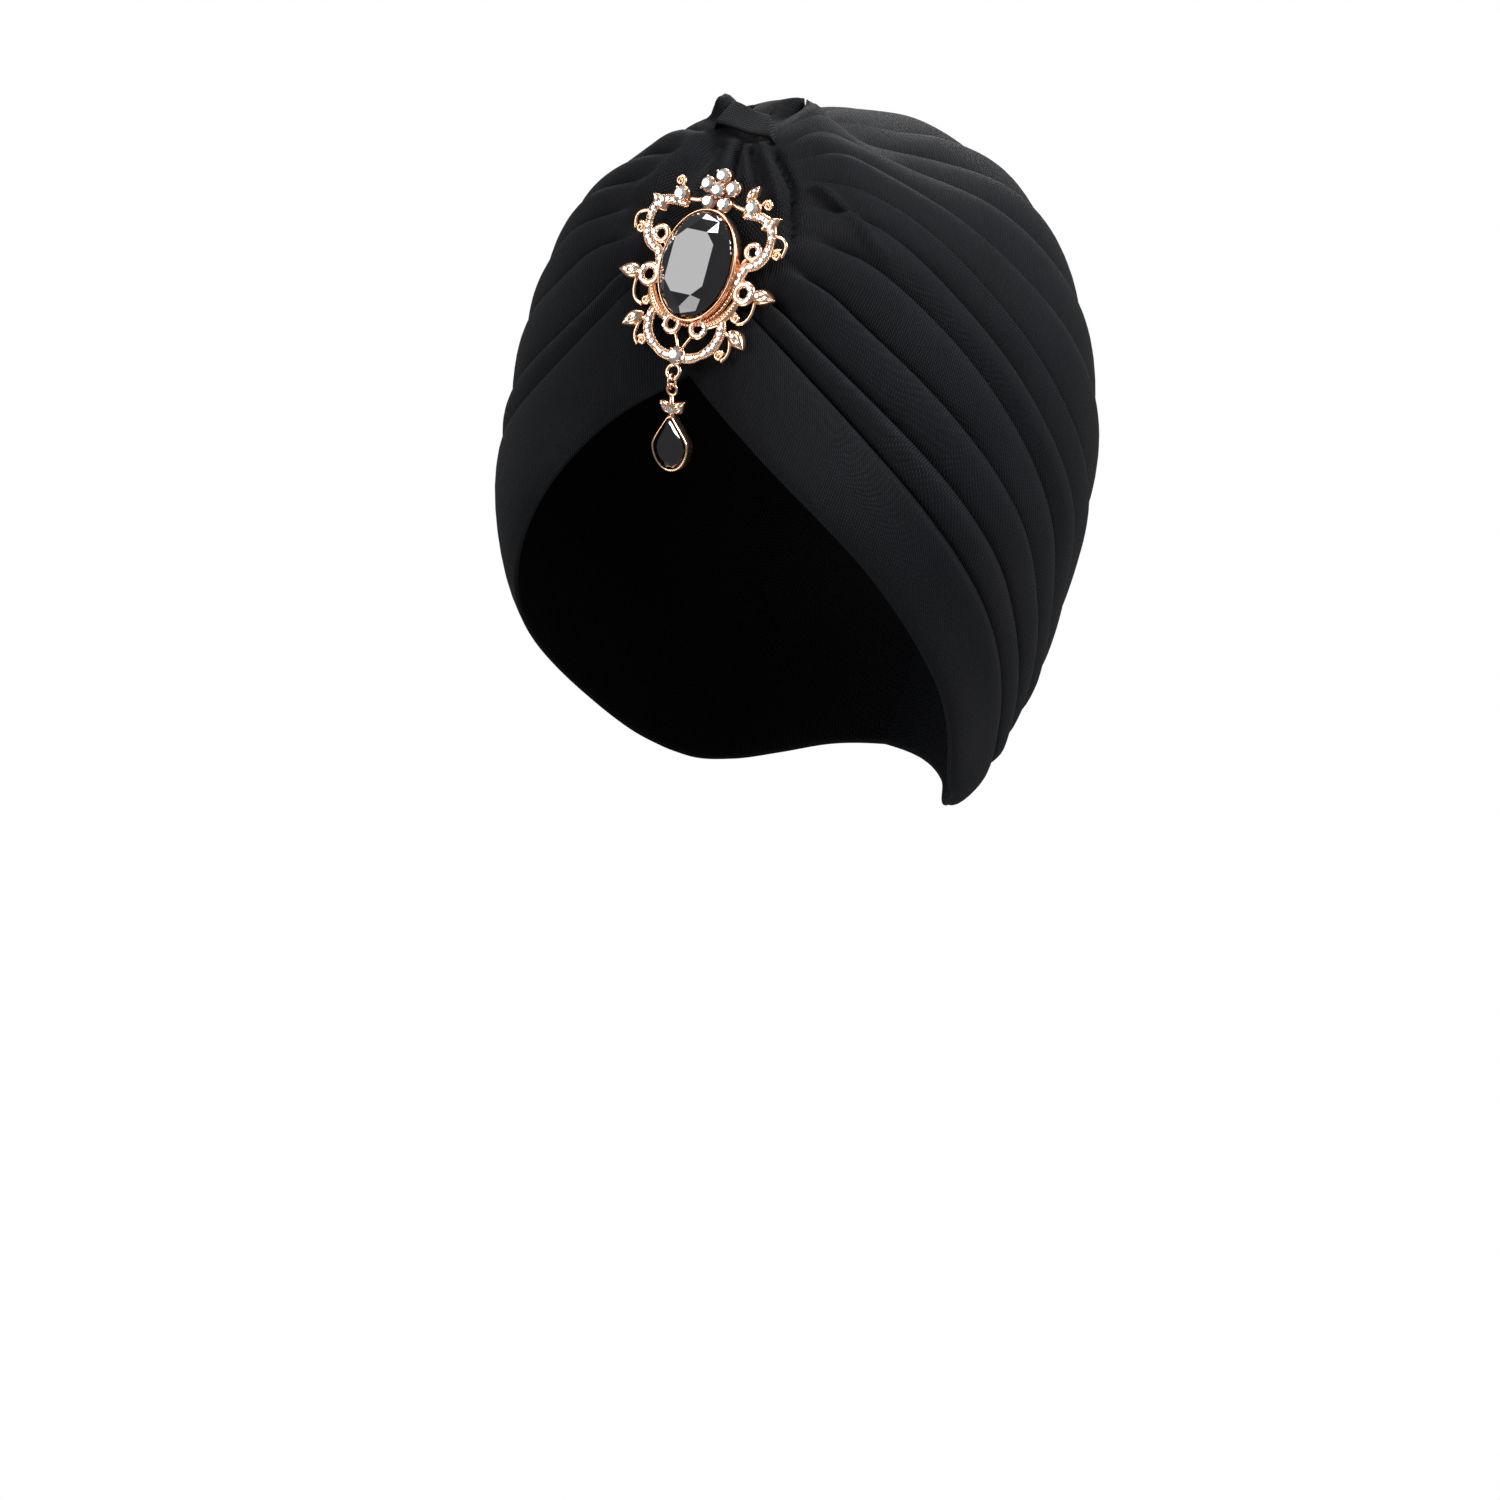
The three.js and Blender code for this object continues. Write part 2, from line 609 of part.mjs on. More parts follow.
// The pear stone: the same outline set in by its wall and gap, stepping up to a small table
function dropStone() {
  const steps = [
    { inset: 1.9, rise: pearCup.floor + stoneGap },
    { inset: pearCup.wall + stoneGap, rise: pearCup.depth - 0.8 },
    { inset: pearCup.wall + stoneGap, rise: pearCup.depth - 0.2 },
    { inset: 3.1, rise: pearCup.depth + 1.7 },
  ];
  const rows = steps.map(({ inset, rise }) => {
    const outline = pearOutline(inset, pear.sides);
    outline.push(outline[0]);
    return outline.map((p) => new THREE.Vector3(p.x, pearCup.depth / 2 - rise, p.y));
  });
  const corners = [];
  addGrid(corners, rows, false);
  const close = (points, turned) => {
    const middle = new THREE.Vector3(0, points[0].y, (pear.top + pear.bottom) / 2);
    for (let i = 0; i + 1 < points.length; i++) {
      corners.push(...(turned ? [middle, points[i + 1], points[i]] : [middle, points[i], points[i + 1]]));
    }
  };
  close(rows[0], true);
  close(rows.at(-1), false);
  return closedMesh(corners);
}

place(drop, "drop_link", dropLink(), "gold");
place(drop, "drop_frame", dropFrame(), "gold");
place(drop, "drop_stone", dropStone(), "jet");

export default part;
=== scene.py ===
# Pleated jersey turban cap with its jewelled brooch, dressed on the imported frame
import json
import bmesh
import bpy
import numpy as np
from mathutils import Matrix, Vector


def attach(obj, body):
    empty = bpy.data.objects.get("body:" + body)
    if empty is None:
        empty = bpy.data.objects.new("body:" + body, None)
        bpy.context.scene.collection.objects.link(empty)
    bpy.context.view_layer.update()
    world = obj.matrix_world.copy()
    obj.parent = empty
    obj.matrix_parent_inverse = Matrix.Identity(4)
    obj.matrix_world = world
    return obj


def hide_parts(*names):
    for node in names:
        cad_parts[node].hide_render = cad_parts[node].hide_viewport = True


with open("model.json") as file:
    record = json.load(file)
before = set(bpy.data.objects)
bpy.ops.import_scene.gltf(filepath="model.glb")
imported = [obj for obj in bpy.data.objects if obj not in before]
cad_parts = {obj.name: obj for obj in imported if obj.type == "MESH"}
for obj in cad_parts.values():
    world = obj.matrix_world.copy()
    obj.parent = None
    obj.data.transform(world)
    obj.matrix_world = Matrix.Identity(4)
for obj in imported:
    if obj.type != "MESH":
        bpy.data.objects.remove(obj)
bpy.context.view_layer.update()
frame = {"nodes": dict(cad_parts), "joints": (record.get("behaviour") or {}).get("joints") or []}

mm = 0.001
turn = 2 * np.pi
print("frame loaded")


# Small maths, all on whole arrays

def smooth(low, high, x):  # 0 below low, 1 above high, and 3t^2 - 2t^3 between them
    t = np.clip((x - low) / (high - low), 0, 1)
    return t * t * (3 - 2 * t)


def spline(values, x, before=None):  # Catmull-Rom through equally spaced values, x counted in steps
    v = np.asarray(values, float)
    first = 2 * v[0] - v[1] if before is None else before
    padded = np.concatenate([[first], v, [2 * v[-1] - v[-2]]])
    i = np.clip(np.floor(x).astype(int), 0, len(v) - 2)
    t = x - i
    a, b, c, d = (padded[i + k] for k in range(4))
    return b + 0.5 * t * (c - a + t * (2 * a - 5 * b + 4 * c - d + t * (3 * (b - c) + d - a)))


def unit(vectors):  # each vector divided by its length
    return vectors / np.linalg.norm(vectors, axis=-1, keepdims=True)


def blunt(wave, power):  # the wave to a power below 1, its sign kept, which squares off its round
    return np.sign(wave) * np.abs(wave) ** power


# Meshes: a part is (points, faces), and a piece is several parts in one mesh

def gridFaces(rows, columns, closeRows=False, closeColumns=False):  # a quad for every cell of a grid
    r = np.arange(rows if closeRows else rows - 1)[:, None]
    c = np.arange(columns if closeColumns else columns - 1)[None, :]
    r2, c2 = (r + 1) % rows, (c + 1) % columns
    corners = [r * columns + c, r * columns + c2, r2 * columns + c2, r2 * columns + c]
    return np.stack(corners, -1).reshape(-1, 4).tolist()


def gridPart(points, closeRows=False, closeColumns=False, capFirst=False, capLast=False):
    # The grid's quads, with one face over its first or last row where that is asked
    rows, columns = points.shape[:2]
    faces = gridFaces(rows, columns, closeRows, closeColumns)
    if capFirst:
        faces.append(list(range(columns - 1, -1, -1)))
    if capLast:
        faces.append([(rows - 1) * columns + i for i in range(columns)])
    return points.reshape(-1, 3), faces


def tubePart(points):  # rows of closed rings with a face at each end
    return gridPart(points, closeColumns=True, capFirst=True, capLast=True)


def halved(face):  # a quad as two triangles
    return [face] if len(face) != 4 else [[face[0], face[1], face[2]], [face[0], face[2], face[3]]]


def halvedPart(part):  # a part with every quad halved
    points, faces = part
    return points, [half for face in faces for half in halved(face)]


def makePiece(name, parts, material, body, shade=True, merge=None, uv=None):
    # Parts in mm, joined in one object that rides the body, their faces turned outward
    points, faces, start = [], [], 0
    for partPoints, partFaces in parts:
        points.append(partPoints)
        faces += [[start + i for i in face] for face in partFaces]
        start += len(partPoints)
    mesh = bpy.data.meshes.new(name)
    mesh.from_pydata((np.concatenate(points) * mm).tolist(), [], faces)
    if uv is not None:
        layer = mesh.uv_layers.new(name="cloth")
        corner = np.zeros(len(mesh.loops), int)
        mesh.loops.foreach_get("vertex_index", corner)
        layer.data.foreach_set("uv", uv[corner].ravel())
    work = bmesh.new()
    work.from_mesh(mesh)
    if merge:
        bmesh.ops.remove_doubles(work, verts=work.verts, dist=merge * mm)
    bmesh.ops.recalc_face_normals(work, faces=work.faces)
    work.to_mesh(mesh)
    work.free()
    mesh.polygons.foreach_set("use_smooth", [shade] * len(mesh.polygons))
    mesh.materials.append(material)
    piece = bpy.data.objects.new(name, mesh)
    bpy.context.scene.collection.objects.link(piece)
    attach(piece, body)
    print("made", name, len(mesh.polygons), "faces")
    return piece


# Finishes

class Wire:  # a material's socket: operators on it add Math nodes, node() adds any other
    def __init__(self, tree, socket=None):
        self.tree, self.socket = tree, socket

    def node(self, kind, settings=None, inputs=None, output=0):
        made = self.tree.nodes.new(kind)
        for key, value in (settings or {}).items():
            setattr(made, key, value)
        for key, value in (inputs or {}).items():
            if isinstance(value, Wire):
                self.tree.links.new(value.socket, made.inputs[key])
            else:
                made.inputs[key].default_value = value
        return Wire(self.tree, made.outputs[output])

    def maths(self, operation, a, b=0.0):
        return self.node("ShaderNodeMath", {"operation": operation}, {0: a, 1: b})

    def __add__(self, other):
        return self.maths("ADD", self, other)

    def __radd__(self, other):
        return self.maths("ADD", other, self)

    def __sub__(self, other):
        return self.maths("SUBTRACT", self, other)

    def __rsub__(self, other):
        return self.maths("SUBTRACT", other, self)

    def __mul__(self, other):
        return self.maths("MULTIPLY", self, other)

    def __rmul__(self, other):
        return self.maths("MULTIPLY", other, self)

    def within(self, low, high):  # cut off below low and above high
        return self.maths("MAXIMUM", self.maths("MINIMUM", self, high), low)

    def mix(self, low, high):  # the colour low where this is 0, high where it is 1
        inputs = {"Factor": self, 6: low, 7: high}
        return self.node("ShaderNodeMix", {"data_type": "RGBA"}, inputs, 2)

    def objectPlace(self):  # Object coordinates
        return self.node("ShaderNodeTexCoord", output="Object")

    def noise(self, where, scale, detail=3.0):
        return self.node("ShaderNodeTexNoise", {}, {"Vector": where, "Scale": scale, "Detail": detail})

    def bump(self, height, strength, distance):
        return self.node("ShaderNodeBump", {}, {"Strength": strength, "Distance": distance, "Height": height})


def finish(name, build, look):  # a Principled material: its fixed inputs, then those that build() wires up
    material = bpy.data.materials.new(name)
    material.use_nodes = True
    tree = material.node_tree
    shader = tree.nodes["Principled BSDF"]
    for socket, value in look["fixed"].items():
        shader.inputs[socket].default_value = value
    for socket, wire in build(Wire(tree), look).items():
        tree.links.new(wire.socket, shader.inputs[socket])
    return material


jersey = {
    "dark": (0.0012, 0.0014, 0.0021, 1), "light": (0.0105, 0.0115, 0.0145, 1),
    "ribPitch": 0.00088, "coursePitch": 0.001,
    "ribHeight": 0.3, "courseHeight": 0.16, "stitchHeight": 0.14,
    "fuzzScale": 900.0, "patchScale": 38.0,
    # the weight of the knit's height in the colour: painted highlight on its tops and painted shade in its
    # grooves
    "knitTone": 0.8, "patchTone": 0.35, "fuzzTone": 0.3,
    "roughFrom": 0.58, "roughRange": 0.16,
    "bump": 0.00042, "bumpStrength": 0.85, "fuzzBump": 0.25,
    "fixed": {"Sheen Weight": 0.014, "Sheen Roughness": 0.35, "Specular IOR Level": 0.1},
}
gold = {
    "deep": (0.78, 0.44, 0.27, 1), "pale": (0.88, 0.57, 0.39, 1),
    "grainScale": 700.0, "toneScale": 90.0, "roughFrom": 0.16, "roughRange": 0.14,
    "bump": 0.00012, "bumpStrength": 0.35,
    "fixed": {"Metallic": 1.0},
}
glass = {
    "deep": (0.001, 0.001, 0.0012, 1), "pale": (0.004, 0.004, 0.005, 1),
    "scale": 60.0, "roughFrom": 0.02, "roughRange": 0.03,
    "fixed": {"IOR": 1.6, "Coat Weight": 0.6, "Coat Roughness": 0.02},
}
crystal = {
    "deep": (0.34, 0.35, 0.38, 1), "pale": (0.9, 0.89, 0.87, 1),
    "scale": 420.0, "roughFrom": 0.03, "roughRange": 0.05,
    "fixed": {"Metallic": 0.8, "IOR": 1.7, "Coat Weight": 1.0, "Coat Roughness": 0.02},
}


def knitHeight(w, look, across, down):  # sines for ribs and courses, and their product for the stitches
    rib = w.maths("SINE", across * (turn / look["ribPitch"]))
    course = w.maths("SINE", down * (turn / look["coursePitch"]))
    return rib * look["ribHeight"] + course * look["courseHeight"] + rib * course * look["stitchHeight"]


def jerseyCloth(w, look):  # lighter on the knit's tops as painted highlight and darker in its grooves as painted shade, with fine fuzz and broad worn patches
    uv = w.node("ShaderNodeUVMap", {"uv_map": "cloth"})
    split = w.node("ShaderNodeSeparateXYZ", {}, {0: uv}).socket.node
    knit = knitHeight(w, look, Wire(w.tree, split.outputs["X"]), Wire(w.tree, split.outputs["Y"]))
    place = w.objectPlace()
    fuzz = w.noise(place, look["fuzzScale"])
    patches = w.noise(place, look["patchScale"])
    # the knit part of this tone is painted light and shade (raised tops lighter, grooves darker); the patches
    # and fuzz are random tone
    tone = knit * look["knitTone"] + patches * look["patchTone"] + fuzz * look["fuzzTone"]
    return {
        "Base Color": tone.within(0.0, 1.0).mix(look["dark"], look["light"]),
        "Roughness": look["roughFrom"] + patches * look["roughRange"],
        "Normal": w.bump(knit + fuzz * look["fuzzBump"], look["bumpStrength"], look["bump"]),
    }


def roseGold(w, look):  # a broad drift of colour, and a fine grain in roughness and bump
    place = w.objectPlace()
    grain = w.noise(place, look["grainScale"])
    tone = w.noise(place, look["toneScale"])
    return {
        "Base Color": tone.mix(look["deep"], look["pale"]),
        "Roughness": look["roughFrom"] + grain * look["roughRange"],
        "Normal": w.bump(grain, look["bumpStrength"], look["bump"]),
    }


def cutStone(w, look):  # glass or crystal: colour and roughness both follow one noise
    cloud = w.noise(w.objectPlace(), look["scale"])
    return {
        "Base Color": cloud.mix(look["deep"], look["pale"]),
        "Roughness": look["roughFrom"] + cloud * look["roughRange"],
    }


clothFinish = finish("jersey", jerseyCloth, jersey)
goldFinish = finish("roseGold", roseGold, gold)
jetFinish = finish("blackGlass", cutStone, glass)
crystalFinish = finish("foiledCrystal", cutStone, crystal)
print("finishes made")


# The cap: front, side and back are the form's reach in mm from its middle, and the hems are degrees down from
# the crown, both every 20 degrees. Pairs are the two ends of a smooth step.

cap = {
    "centre": (0, 10, -86), "step": 20,
    "front": (88.5, 92.5, 82.5, 70.5, 71.5, 86, 102.5, 114, 125),
    "side": (88.5, 83, 85.5, 82.5, 80, 80.5, 83.5, 96, 117),
    "back": (88.5, 91, 91, 86, 80.5, 79, 84, 98, 113),
    "frontSquareness": 2.4, "backSquareness": 2.0, "meanReach": 85,
    "hemRight": (66.5, 83, 101.5, 127, 149, 156.3, 160, 158.5, 157, 156),
    "hemLeft": (66.5, 82, 114, 135, 149.5, 155.5, 157.5, 157.5, 156.5, 156),
    "ridgeFront": -21, "ridgeBack": 100, "spread": 1.5,
    "below": 0.9, "wall": 1.6, "hemRoll": 0.8, "insideFolds": 0.45,
    "panelColumns": 34, "sideColumns": 150, "liningRows": 34, "hemRows": 7,
}
pleat = {
    "height": 3.7, "heightToWidth": 0.55, "leastHeight": 0.1, "leastWidth": 0.3, "opensOver": 0.1,
    "overhang": 1.5, "mostOverhang": 0.3, "overhangFade": (0.93, 1),
    "napeFade": (0.82, 1), "flatAtNape": 0.45,
    "middleFade": (0.3, 1.2), "middleShare": 0.25,  # degrees beside the middle, where pleats start lower
    "gatherUp": (0.9, 0.97), "gatherAside": (9, 26), "gatherFlat": 0.85,  # nearly flat on the gathered crown
    "topShare": 0.6, "topMiddleShare": 0.3, "topRound": 0.7,
    "wave": 0.28, "waves": 4.3, "wavesMore": 0.37, "waveShift": 0.31, "waveFade": (0.9, 1),
}
crown = {"loft": 1.7, "behind": (-75, -10), "ahead": (8, 24), "halfWidth": 34}

# A row is a crease: how far along it leaves the panel, then its height from hem to top at the front, temple,
# side, rear, nape and back
pleats = {
    "right": (
        (0.14, 0.43, 0.375, 0.175, 0.063, 0.08, 0.156),
        (0.21, 0.51, 0.465, 0.255, 0.095, 0.133, 0.24),
        (0.27, 0.63, 0.605, 0.37, 0.128, 0.18, 0.32),
        (0.295, 0.685, 0.64, 0.485, 0.16, 0.225, 0.4),
        (0.3, 0.73, 0.685, 0.56, 0.22, 0.28, 0.5),
        (0.285, 0.775, 0.725, 0.623, 0.3, 0.35, 0.6),
        (0.27, 0.81, 0.755, 0.7, 0.43, 0.455, 0.7),
        (0.25, 0.85, 0.79, 0.78, 0.56, 0.59, 0.79),
        (0.225, 0.895, 0.855, 0.85, 0.685, 0.73, 0.87),
        (0.2, 0.94, 0.92, 0.915, 0.82, 0.87, 0.94),
    ),
    "left": (
        (0.14, 0.43, 0.42, 0.265, 0.09, 0.09, 0.156),
        (0.21, 0.51, 0.5, 0.335, 0.13, 0.14, 0.24),
        (0.27, 0.63, 0.63, 0.455, 0.17, 0.19, 0.32),
        (0.295, 0.685, 0.69, 0.54, 0.21, 0.24, 0.4),
        (0.3, 0.73, 0.735, 0.61, 0.26, 0.3, 0.5),
        (0.285, 0.775, 0.775, 0.67, 0.33, 0.37, 0.6),
        (0.27, 0.81, 0.81, 0.74, 0.43, 0.475, 0.7),
        (0.25, 0.85, 0.85, 0.81, 0.55, 0.6, 0.79),
        (0.225, 0.895, 0.89, 0.87, 0.7, 0.74, 0.87),
        (0.2, 0.94, 0.935, 0.93, 0.85, 0.875, 0.94),
    ),
}
hemRow = (0.07, 0, 0, 0, 0, 0, 0)
topRow = (0.18, 1, 1, 1, 1, 1, 1)

# A pleat is a soft roll: its climb from the crease, and where it stands, as shares of its height and width
pleatProfile = {
    "across": (0.0, 0.04, 0.1, 0.19, 0.31, 0.45, 0.6, 0.74, 0.86, 0.95, 1.0, 1.0, 1.0, 1.0, 1.0),
    "climb": (0.0, 0.16, 0.36, 0.55, 0.71, 0.84, 0.94, 1.0, 1.0, 0.95, 0.85, 0.7, 0.5, 0.28, 0.08),
    "overhang": (0.0, 0.0, 0.0, 0.0, 0.0, 0.0, 0.0, 0.0, 0.0, 0.0, 0.35, 0.75, 0.95, 0.8, 0.45),
}

# Folds of the gathered front, as paths in degrees (forward from the crown, to the wearer's left), each with
# its height in mm, below 0 for a groove, and its width in degrees
frontFolds = (
    {"path": ((18, -6.6), (23.4, -7.8), (27.3, -10.2), (31, -13), (36, -17), (40, -23)),
     "height": -3.52, "width": 2.1},
    {"path": ((18, -8.6), (24, -11.5), (29, -15.5), (34, -21)), "height": 1.76, "width": 2.0},
    {"path": ((19.5, -4.9), (27, -5.0), (34, -6.6)), "height": -2.08, "width": 0.9},
    {"path": ((19, -2.9), (27, -1.6), (33, -0.9)), "height": 0.8, "width": 1.1},
    {"path": ((19.6, -1.4), (26.4, 0.4), (32, 1.4)), "height": -2.24, "width": 0.55},
    {"path": ((20, -0.3), (26.1, 3.0), (31, 4.8)), "height": 1.76, "width": 0.9},
    {"path": ((20.6, 1.0), (25.8, 5.3), (30, 8.2)), "height": -2.4, "width": 0.9},
    {"path": ((19.7, 1.9), (26.5, 8.4), (30.8, 11.8), (35, 13.6)), "height": 2.72, "width": 1.2},
    {"path": ((20.4, 5.2), (24.4, 9.4), (27.3, 12.4), (30.6, 14.4), (34, 16), (40, 17.5)),
     "height": -3.04, "width": 0.8},
    {"path": ((27.2, 15.4), (27.0, 19), (29.4, 25.6), (32.3, 30.7), (35.5, 37.5)),
     "height": 2.4, "width": 0.75},
    {"path": ((9.4, -9.4), (11.6, -8.8), (14.5, -8.4)), "height": 5.44, "width": 1.7},
    {"path": ((7.6, -6.6), (10.5, -6.2)), "height": -3.52, "width": 0.8},
)
foldIn, foldOut = (-0.02, 0.12), (0.72, 1.0)
seam = {"path": ((20.8, 4.7), (24.4, 9.1), (27.3, 12.2), (30.6, 13.9), (33.6, 15.7), (40, 17.5)),
        "pucker": 0.2, "reach": 1.3, "pitch": 1.7, "fade": (0.85, 1)}


def reach(direction):  # how far the form lies that way: a superellipse of its facing and side distances
    flat = np.hypot(direction[..., 0], direction[..., 1]) + 1e-12
    steps = np.degrees(np.arccos(np.clip(direction[..., 2], -1, 1))) / cap["step"]
    facing, sideways = -direction[..., 1] / flat, direction[..., 0] / flat
    ahead = spline(cap["front"], steps, cap["back"][1])
    behind = spline(cap["back"], steps, cap["front"][1])
    power = np.where(facing > 0, cap["frontSquareness"], cap["backSquareness"])
    along = np.abs(facing / np.where(facing > 0, ahead, behind))
    across = np.abs(sideways / spline(cap["side"], steps, cap["side"][1]))
    return (along ** power + across ** power) ** (-1 / power)


def bearing(down, around):  # the direction that many degrees down from the crown and around from the face
    a, b = np.radians(down), np.radians(around)
    return np.stack([np.sin(a) * np.sin(b), -np.sin(a) * np.cos(b), np.cos(a)], -1)


def frontChart(direction):  # degrees forward from the crown and to the wearer's left
    forward = np.degrees(np.arctan2(-direction[..., 1], direction[..., 2]))
    return forward, np.degrees(np.arcsin(np.clip(direction[..., 0], -1, 1)))


def fromChart(forward, aside):  # the direction at a place of that chart
    forward, aside = np.radians(forward), np.radians(aside)
    return np.stack([np.sin(aside), -np.cos(aside) * np.sin(forward), np.cos(aside) * np.cos(forward)], -1)


def onForm(direction, lift):  # the point that lies lift mm above the form
    return direction * (reach(direction) + lift)[..., None] + np.array(cap["centre"], float)


def capDirection(side, along, up):  # slides evenly from the hem (up 0) to the line over the top (up 1)
    gone = along ** cap["spread"]
    hem = cap["hemRight"] if side > 0 else cap["hemLeft"]
    low = bearing(spline(hem, 180 * gone / cap["step"]), side * 180 * gone)
    overTop = cap["ridgeFront"] + (cap["ridgeBack"] - cap["ridgeFront"]) * gone
    high = bearing(np.abs(overTop), np.where(overTop < 0, 0.0, 180.0))
    angle = np.arccos(np.clip((low * high).sum(-1), -1, 1))
    direction = unit(np.sin((1 - up) * angle)[..., None] * low + np.sin(up * angle)[..., None] * high)
    return direction, angle


def foldPath(path, samples=8):  # a smooth line through a path's points
    path = np.array(path, float)
    x = np.linspace(0, len(path) - 1, samples * (len(path) - 1) + 1)
    return np.stack([spline(path[:, 0], x), spline(path[:, 1], x)], -1)


def nearPath(places, path):  # distance to the nearest edge, the length up to there, and the whole length
    best = np.full(places.shape[:-1], 1e9)
    gone = np.zeros(places.shape[:-1])
    start = 0.0
    for a, b in zip(path[:-1], path[1:]):
        edge = b - a
        length = np.hypot(*edge)
        t = np.clip(((places - a) @ edge) / length**2, 0, 1)
        away = np.linalg.norm(places - a - t[..., None] * edge, axis=-1)
        gone = np.where(away < best, start + t * length, gone)
        best = np.minimum(best, away)
        start += length
    return best, gone, start


def frontRelief(direction):  # every fold adds a bell-shaped ridge or groove that fades at its ends
    places = np.stack(frontChart(direction), -1)
    lift = np.zeros(places.shape[:-1])
    for fold in frontFolds:
        away, gone, length = nearPath(places, foldPath(fold["path"]))
        fade = smooth(*foldIn, gone / length) * (1 - smooth(*foldOut, gone / length))
        lift += fold["height"] * fade * np.exp(-((away / fold["width"]) ** 2))
    away, gone, length = nearPath(places, foldPath(seam["path"]))
    pucker = np.sin(turn * gone / seam["pitch"]) * np.exp(-((away / seam["reach"]) ** 2))
    return lift + seam["pucker"] * pucker * (1 - smooth(*seam["fade"], gone / length))


def crownLoft(direction):  # the gathered crown stands a little proud behind the strap, bell-shaped across
    forward, aside = frontChart(direction)
    along = smooth(*crown["behind"], forward) * (1 - smooth(*crown["ahead"], forward))
    return crown["loft"] * along * np.exp(-((aside / crown["halfWidth"]) ** 2))


def edgeHeight(row, along):  # a crease's height, by a spline through its row
    return spline(row[1:], along * (len(row) - 2))


def columnsAlong(start):  # start: one value a row; the panel's columns, then the side's, both evenly spaced
    panel = np.linspace(0, 1, cap["panelColumns"] + 1)
    side = np.linspace(0, 1, cap["sideColumns"] + 1)[1:]
    start = np.asarray(start, float).reshape(-1, 1)
    return np.concatenate([start * panel, start + (1 - start) * side], 1)


def meetMiddle(points, along):  # a side's first and last columns lie on the middle plane
    points[..., 0] = np.where((along == 0) | (along == 1), 0, points[..., 0])
    return points


def stripPoints(side, number, lower, upper):  # one pleat: rows of its profile, columns from face to nape
    profile = {key: np.array(shares)[:, None] for key, shares in pleatProfile.items()}
    count = len(profile["across"])
    even = np.arange(count)[:, None] / count
    start = lower[0] + (upper[0] - lower[0]) * even
    along = columnsAlong(start)
    leaving = smooth(0, pleat["opensOver"], along - start)
    low, high = edgeHeight(lower, along), edgeHeight(upper, along)
    _, angle = capDirection(side, along, low)
    width = np.maximum((high - low) * angle * cap["meanReach"], pleat["leastWidth"])
    over = np.minimum(pleat["overhang"] / width, pleat["mostOverhang"])
    over = over * (1 - smooth(*pleat["overhangFade"], along))
    across = even + (profile["across"] + profile["overhang"] * over - even) * leaving
    topmost = number == len(pleats["right"])
    direction, _ = capDirection(side, along, low + (high - low) * (even if topmost else across))
    aside = np.abs(frontChart(direction)[1])
    inside = smooth(*pleat["middleFade"], aside)
    gathered = smooth(*pleat["gatherUp"], direction[..., 2]) * (1 - smooth(*pleat["gatherAside"], aside))
    tall = np.minimum(pleat["height"], pleat["heightToWidth"] * width + pleat["leastHeight"])
    tall = tall * (1 - pleat["flatAtNape"] * smooth(*pleat["napeFade"], along))
    tall = tall * leaving * (1 - pleat["gatherFlat"] * gathered)
    if topmost:  # the last one meets the other side's in a low arch
        share = pleat["topMiddleShare"] + (1 - pleat["topMiddleShare"]) * inside
        climb = pleat["topShare"] * tall * share * np.sin(np.pi * even) ** pleat["topRound"]
    else:
        share = pleat["middleShare"] + (1 - pleat["middleShare"]) * inside
        climb = profile["climb"] * tall * share
    phase = along * (pleat["waves"] + pleat["wavesMore"] * number) + pleat["waveShift"] * number * side
    wave = pleat["wave"] * np.sin(turn * phase) * np.sin(np.pi * even)
    wave = wave * leaving * (1 - smooth(*pleat["waveFade"], along))
    lift = climb + wave + frontRelief(direction) + crownLoft(direction) - cap["below"]
    return meetMiddle(onForm(direction, lift), along)


def capSide(side):  # rows run from the top down the lining, round the hem, and up over the pleats to the top
    rows = [hemRow, *(pleats["right"] if side > 0 else pleats["left"]), topRow]
    along = columnsAlong(hemRow[0])
    inner = []
    for up in np.linspace(1, 0, cap["liningRows"]):
        direction, _ = capDirection(side, along, np.full_like(along, up))
        loft = crownLoft(direction) + cap["insideFolds"] * frontRelief(direction)
        inner.append(onForm(direction, loft - cap["below"] - cap["wall"]))
    _, angle = capDirection(side, along, np.zeros_like(along))
    for bend in np.linspace(0, np.pi, cap["hemRows"] + 2)[1:-1]:  # half a turn round the hem
        under = -cap["hemRoll"] * np.sin(bend) / (angle * cap["meanReach"])
        direction, _ = capDirection(side, along, under)
        lift = -cap["below"] - cap["wall"] / 2 * (1 + np.cos(bend))
        inner.append(onForm(direction, np.full_like(along, lift)))
    lining = meetMiddle(np.concatenate(inner), along)
    lining[0, :, 0] = 0
    outer = [stripPoints(side, k, rows[k], rows[k + 1]) for k in range(len(rows) - 1)]
    topAlong = columnsAlong(topRow[0])
    direction, _ = capDirection(side, topAlong, np.ones_like(topAlong))
    top = onForm(direction, crownLoft(direction) + frontRelief(direction) - cap["below"])
    top[..., 0] = 0
    return np.concatenate([lining, *outer, top])


def clothPlaces(points):  # for the knit: metres along the cloth and across it, summed from step to step
    alongSteps = np.linalg.norm(np.diff(points, axis=1), axis=-1)
    downSteps = np.linalg.norm(np.diff(points, axis=0), axis=-1)
    along = np.concatenate([np.zeros((len(points), 1)), np.cumsum(alongSteps, 1)], 1)
    down = np.concatenate([np.zeros((1, points.shape[1])), np.cumsum(downSteps, 0)])
    return np.stack([along, down], -1).reshape(-1, 2) * mm


capSides = [capSide(1), capSide(-1)]
capCloth = makePiece(
    "cap_cloth", [gridPart(side) for side in capSides], clothFinish, "cap",
    merge=0.0005, uv=np.concatenate([clothPlaces(side) for side in capSides]),
)
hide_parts("cap_shell")


# The gather strap: a rounded slab whose corners are degrees forward, degrees aside and mm above the form.
# Its ends tuck into the cloth.

